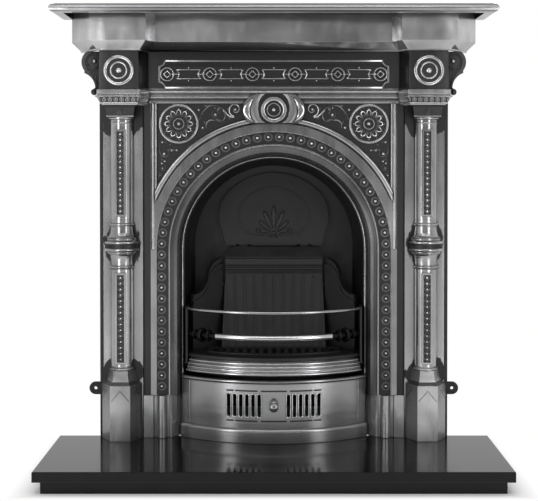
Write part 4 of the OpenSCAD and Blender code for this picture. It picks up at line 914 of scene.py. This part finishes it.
def pad(bm, bottom, top, inner, outer, z, rise):
    """A rounded pad between two outlines, each a function of the height's share."""
    made = bmesh.ops.create_grid(bm, x_segments=10, y_segments=24, size=0.5)["verts"]
    for v in made:
        across, up = v.co.x + 0.5, v.co.y + 0.5
        start, width = inner(up), outer(up) - inner(up)
        swell = max(0.0, math.sin(math.pi * across)) * min(1.0, width / 6)
        v.co = Vector((start + width * across, bottom + (top - bottom) * up, z + rise * swell))
    faces = list({face for v in made for face in v.link_faces})
    bmesh.ops.solidify(bm, geom=faces, thickness=1.0)


class FIREPLACE_OT_keystone(bpy.types.Operator):
    """Carve the cheeks, the rolled wings and the rings of the keystone"""

    bl_idname = "fireplace.keystone"
    bl_label = "Keystone"

    def execute(self, context):
        low, high = span("keystone")
        middle, face = (BOSS_LOW.y + BOSS_HIGH.y) / 2, BOSS_LOW.z

        def barrel(up):
            return 66.0 - 12.0 * (2 * up - 0.94) ** 2

        def cheek_root(up):
            off_middle = (low.y + 2 + (high.y - low.y - 3) * up - middle - 4) / 43
            return 44.0 * max(0.02, 1 - off_middle**2) ** 0.3

        def cheek_tip(up):
            return barrel(up) - 0.4

        def wing_root(up):
            return barrel(up) + 2.2

        def wing_tip(up):
            return barrel(up) + 2.6 + 17.0 * math.sin(math.pi * up) ** 0.6

        bm = bmesh.new()
        pad(bm, low.y + 2, high.y - 1, cheek_root, cheek_tip, face + 0.1, 1.5)
        pad(bm, low.y + 5, high.y - 14, wing_root, wing_tip, surface("keystone", 78, middle) - 0.2, 1.8)
        both_hands(bm)
        stamp(bm, ring_shape(31.5, 6.6, 0.42, 48, 12), at(0, middle, face + 2.6))
        stamp(bm, ring_shape(18.0, 1.4, 0.8, 36, 8), at(0, middle, face + 3.2))
        stamp(bm, button_shape(6.4, 6.0, 20), at(0, middle, BOSS_HIGH.z - 6.0))
        carve(bm, "keystone_wings", "smooth")
        return {"FINISHED"}


class FIREPLACE_OT_roundels(bpy.types.Operator):
    """Carve the broad outer ring of the two roundels"""

    bl_idname = "fireplace.roundels"
    bl_label = "Roundels"

    def execute(self, context):
        low, high = span("right_roundel")
        middle = (low + high) / 2
        thick = 4.6
        bm = bmesh.new()
        ring = ring_shape(high.x - middle.x - thick - 0.4, thick, 0.62, 48, 10)
        stamp(bm, ring, at(middle.x, middle.y, BLOCK_FACE + 3.4))
        carve(bm, "roundel_rings", "smooth", both=True)
        return {"FINISHED"}


class FIREPLACE_OT_brackets(bpy.types.Operator):
    """Carve the discs and leaves of the side brackets"""

    bl_idname = "fireplace.brackets"
    bl_label = "Side brackets"

    def execute(self, context):
        low, high = span("right_scroll_bracket")
        block = span("right_corner_block")[1].x
        x, y, z = block + 17, high.y - 28, high.z - 5.5
        bm = bmesh.new()
        stamp(bm, ring_shape(18.5, 1.6, 0.9), at(x, y, z - 2))
        stamp(bm, ring_shape(11, 0.9, 0.9, 30), at(x, y, z - 1))
        outline = [(block + dx, high.y - down, z) for dx, down in ((38, 48), (24, 64), (13, 82), (9, 98))]
        rod(bm, curve(outline), 0.9, 1.6, 0.9)
        leaves = ((6, 28, 165, 20), (-2, 34, 180, 20), (-6, 52, 185, 16), (-6, 66, 180, 14))
        for dx, down, turn, size in leaves:
            stamp(bm, leaf_shape(size, size * 0.45, 2.0), at(x + dx, y - down, z - 1.0, turn))
        carve(bm, "bracket_volutes", "dull", both=True)
        bm = bmesh.new()
        stamp(bm, button_shape(6.2, 6.5, 16), at(x - 1, y + 1, z + 1.0))
        carve(bm, "bracket_bosses", "relief", both=True)
        return {"FINISHED"}


class FIREPLACE_OT_door(bpy.types.Operator):
    """Carve the palmette and the scrolls of the register door"""

    bl_idname = "fireplace.door"
    bl_label = "Register door"

    def execute(self, context):
        joints = frame["record"]["behaviour"]["joints"]
        pin = next(joint["pos_m"] for joint in joints if joint["name"] == "register_door_hinge")
        hinge = Vector((0, (pin[2] - HEARTH) * 1000, (WALL - pin[1]) * 1000))
        lean = Matrix.Rotation(math.radians(-4), 4, "X")
        door = Matrix.Translation(hinge) @ lean

        def on_door(points):
            return [door @ Vector(point) for point in points]

        bm = bmesh.new()
        for turn, size, wide in ((0, 84, 15), (24, 74, 15), (50, 58, 14), (78, 40, 11)):
            for side in BOTH_SIDES if turn else (1,):
                stamp(bm, petal_shape(size, wide, 4.2), door @ at(0, 43, 3, side * turn))
        for side in BOTH_SIDES:
            volute = spiral(side * 43, 50, 4.6, 12, 90 - side * 150, side * 1.25, 26)
            rod(bm, on_door(volute), 1.6, 2.2, 1.5)
            line = [(side * x, y, 4.6) for x, y in ((10, 37), (22, 41), (32, 40), (43, 36))]
            rod(bm, on_door(curve(line)), 1.4, 2.2, 1.4)
            stamp(bm, button_shape(4, 4), door @ at(side * 7.5, 34, 3.4))
            stamp(bm, button_shape(3.4, 3.6), door @ at(side * 43, 50, 3.4))
        stamp(bm, button_shape(7, 5, 14), door @ at(0, 44, 3.6))
        carve(bm, "door_palmette", "black", "register_door")
        return {"FINISHED"}


class FIREPLACE_OT_cover(bpy.types.Operator):
    """Give the ash cover its dark grooves, side lines and bright slot rims, and its knob a hood"""

    bl_idname = "fireplace.cover"
    bl_label = "Ash cover lines"

    def execute(self, context):
        knob_low, knob_high = span("cover_knob")
        knob_y = (knob_low.y + knob_high.y) / 2
        rim_radius = 426.0
        radius = rim_radius - 8
        centre = COVER_HIGH.z - rim_radius

        # each groove runs between two angles, in short straight steps that follow the bow
        bm = bmesh.new()
        for y in (knob_y - 42.5, knob_y + 41.0):
            for start, end in ((-18.4, -15.5), (-14.8, -6.2), (-4.9, 4.9), (6.2, 14.8), (15.5, 18.4)):
                steps = max(2, int((end - start) / 1.2))
                step = (end - start) / steps
                piece = bar_shape(math.radians(step) * radius + 0.3, 4.0, 0.35)
                for i in range(steps):
                    stamp(bm, piece, round_column(0, y, centre, start + step * (i + 0.5), radius))
        carve(bm, "ash_cover_grooves", "groove", "ash_cover")

        bm = bmesh.new()
        first_slot, slot_pitch, slots = 40.5, 17, 6
        half_straight, end_radius = 26.9, 6.0
        for x in [first_slot + slot_pitch * i for i in range(slots)]:
            for side in BOTH_SIDES:
                rim = []
                for angle in [*range(0, 181, 20), *range(180, 361, 20), 0]:
                    dx, dy = on_round(end_radius, angle)
                    dy += half_straight if angle < 180 else -half_straight
                    dx += side * x
                    rim.append((dx, knob_y + dy, centre + math.sqrt((radius + 0.9) ** 2 - dx**2)))
                tube(bm, rim, [1.25] * len(rim), 6)
        carve(bm, "ash_cover_rims", "rim", "ash_cover")

        bm = bmesh.new()
        line_angle = math.degrees(math.asin(COVER_HIGH.x / rim_radius)) - 3.5
        for side in BOTH_SIDES:
            dz, x = on_round(radius, side * line_angle)
            tube(bm, [(x, knob_y - 64, centre + dz), (x, knob_y + 60, centre + dz)], [2.2, 2.2])
        knob_head, knob_hood = button_shape(13, 8.0, 28), button_shape(9.5, 12.0, 24)
        stamp(bm, knob_head, at(0, knob_y, knob_high.z - 8.2))
        stamp(bm, knob_hood, at(0, knob_y + 10.5, knob_high.z - 20))
        carve(bm, "ash_cover_lines", "cover", "ash_cover")
        return {"FINISHED"}


def studio_floor():
    """A pale floor that keeps the object's shadow, and is white to the camera away from it."""
    bm = bmesh.new()
    bmesh.ops.create_grid(bm, x_segments=1, y_segments=1, size=14)
    mesh = bpy.data.meshes.new("studio_floor")
    bm.to_mesh(mesh)
    bm.free()
    floor = bpy.data.objects.new("studio_floor", mesh)
    bpy.context.scene.collection.objects.link(floor)
    floor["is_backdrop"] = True
    n = Nodes(bpy.data.materials.new("studio floor"))
    n.finish(Base_Color=(0.86, 0.86, 0.86, 1), Roughness=0.9, Specular_IOR_Level=0.1)
    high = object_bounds()[1]
    # how far out a place is, as a share of the object's half width or half depth
    out_there = n.vector("ABSOLUTE", n.place((1 / high[0], 1 / high[1], 0))).outputs[0]
    parts = n.add("ShaderNodeSeparateXYZ", {0: out_there}).outputs
    links = {"Value": n.math("MAXIMUM", parts["X"], parts["Y"]), "From Min": 0.99, "From Max": 1.10}
    outside = n.add("ShaderNodeMapRange", links).outputs[0]
    # all of the white is seen by the camera, and 0.4 of it in mirrors
    ray = n.add("ShaderNodeLightPath").outputs
    seen = n.math("MULTIPLY_ADD", ray["Is Glossy Ray"], 0.4, ray["Is Camera Ray"])
    white = n.add("ShaderNodeEmission", {"Color": (1, 1, 1, 1), "Strength": 1.0}).outputs[0]
    share = n.math("MULTIPLY", outside, seen)
    blend = n.add("ShaderNodeMixShader", {0: share, 1: n.shader.outputs[0], 2: white})
    out = next(o for o in n.tree.nodes if o.type == "OUTPUT_MATERIAL")
    n.give(out.inputs["Surface"], blend.outputs[0])
    mesh.materials.append(n.owner)


def studio_room(front):
    """White to the camera. In reflections it is dim in front of the object and white behind it."""
    n = Nodes(bpy.data.worlds.new("studio"))
    bpy.context.scene.world = n.owner
    towards = n.add("ShaderNodeSeparateXYZ", {0: n.add("ShaderNodeTexCoord").outputs["Generated"]}).outputs
    aside = ((0.0, 0.75), (0.05, 0.8), (0.11, 1.6), (0.3, 1.4), (0.5, 1.2), (1.0, 2.2))
    ahead = n.ramp(n.math("ABSOLUTE", towards["X"]), *((where, tone * front) for where, tone in aside))
    turned = n.add("ShaderNodeMapRange", {"Value": towards["Y"], "From Min": -1.0}).outputs[0]
    behind = n.ramp(turned, (0.0, 0.0), (0.12, 0.0), (0.5, 0.4), (1.0, 1.0))
    room = n.mix(behind, ahead, (1.0, 1.0, 1.0))
    camera_ray = n.add("ShaderNodeLightPath").outputs["Is Camera Ray"]
    n.finish(Color=n.mix(camera_ray, room, (1.0, 1.0, 1.0)))


def studio_lamp(name, place, size, power, target_height):
    """A rectangular lamp, aimed at a height on the line through the object's middle."""
    lamp = bpy.data.lights.new(name, "AREA")
    lamp.shape = "RECTANGLE"
    lamp.size, lamp.size_y = size
    lamp.energy = power
    light = bpy.data.objects.new(name, lamp)
    light.location = place
    aim = Vector((0, 0, target_height)) - Vector(place)
    light.rotation_euler = aim.to_track_quat("-Z", "Y").to_euler()
    bpy.context.scene.collection.objects.link(light)


def studio_camera(distance, height, tilt):
    """The camera at the photo's viewing angle."""
    lens = bpy.data.cameras.new("camera")
    lens.sensor_width = 36
    lens.lens = lens.sensor_width * FOCAL_LENGTH / PHOTO_WIDTH
    lens.shift_x = (PHOTO_WIDTH / 2 - LENS_COLUMN) / PHOTO_WIDTH
    lens.shift_y = -LENS_DROP / PHOTO_WIDTH
    lens.clip_end = 60
    camera = bpy.data.objects.new("camera", lens)
    camera.location = (0, WALL - distance, HEARTH + height)
    camera.rotation_euler = (math.pi / 2 - tilt, 0, 0)
    bpy.context.scene.collection.objects.link(camera)
    bpy.context.scene.camera = camera


class FIREPLACE_OT_stage(bpy.types.Operator):
    """Set the pale floor, the soft light and the camera"""

    bl_idname = "fireplace.stage"
    bl_label = "Studio"

    def execute(self, context):
        studio = context.scene.fireplace_studio
        context.scene.view_settings.view_transform = "Standard"
        studio_floor()
        studio_room(studio.front)
        strip = (0.24, 1.55)
        studio_lamp("left strip light", (-0.92, -1.06, 0.75), strip, studio.strips, 0.75)
        studio_lamp("right strip light", (0.92, -1.06, 0.75), strip, studio.strips * 0.85, 0.75)
        studio_lamp("top softbox", (0.0, -1.5, 2.6), (2.2, 0.5), studio.top, 0.6)
        studio_camera(studio.distance, studio.height, studio.tilt)
        return {"FINISHED"}


OPERATORS = (
    FIREPLACE_OT_finishes,
    FIREPLACE_OT_rosettes,
    FIREPLACE_OT_vines,
    FIREPLACE_OT_frieze,
    FIREPLACE_OT_shafts,
    FIREPLACE_OT_arch,
    FIREPLACE_OT_columns,
    FIREPLACE_OT_keystone,
    FIREPLACE_OT_roundels,
    FIREPLACE_OT_brackets,
    FIREPLACE_OT_door,
    FIREPLACE_OT_cover,
    FIREPLACE_OT_stage,
)


class FIREPLACE_PT_panel(bpy.types.Panel):
    """Builds the fireplace's looks step by step."""

    bl_idname = "FIREPLACE_PT_panel"
    bl_label = "Fireplace"
    bl_space_type = "VIEW_3D"
    bl_region_type = "UI"
    bl_category = "Fireplace"

    def draw(self, context):
        for operator in OPERATORS:
            self.layout.operator(operator.bl_idname)
        for group in (
            context.scene.fireplace_finishes,
            context.scene.fireplace_carving,
            context.scene.fireplace_studio,
        ):
            box = self.layout.box()
            for name in group.__annotations__:
                box.prop(group, name)


GROUPS = (
    ("fireplace_finishes", FireplaceFinishes),
    ("fireplace_carving", FireplaceCarving),
    ("fireplace_studio", FireplaceStudio),
)
CLASSES = tuple(group for _, group in GROUPS) + OPERATORS + (FIREPLACE_PT_panel,)


def register():
    for cls in CLASSES:
        bpy.utils.register_class(cls)
    for name, group in GROUPS:
        setattr(bpy.types.Scene, name, PointerProperty(type=group))


def unregister():
    for name, _ in GROUPS:
        delattr(bpy.types.Scene, name)
    for cls in reversed(CLASSES):
        bpy.utils.unregister_class(cls)


def main():
    register()
    for operator in OPERATORS:
        group, name = operator.bl_idname.split(".")
        getattr(getattr(bpy.ops, group), name)()


if __name__ == "__main__":
    main()
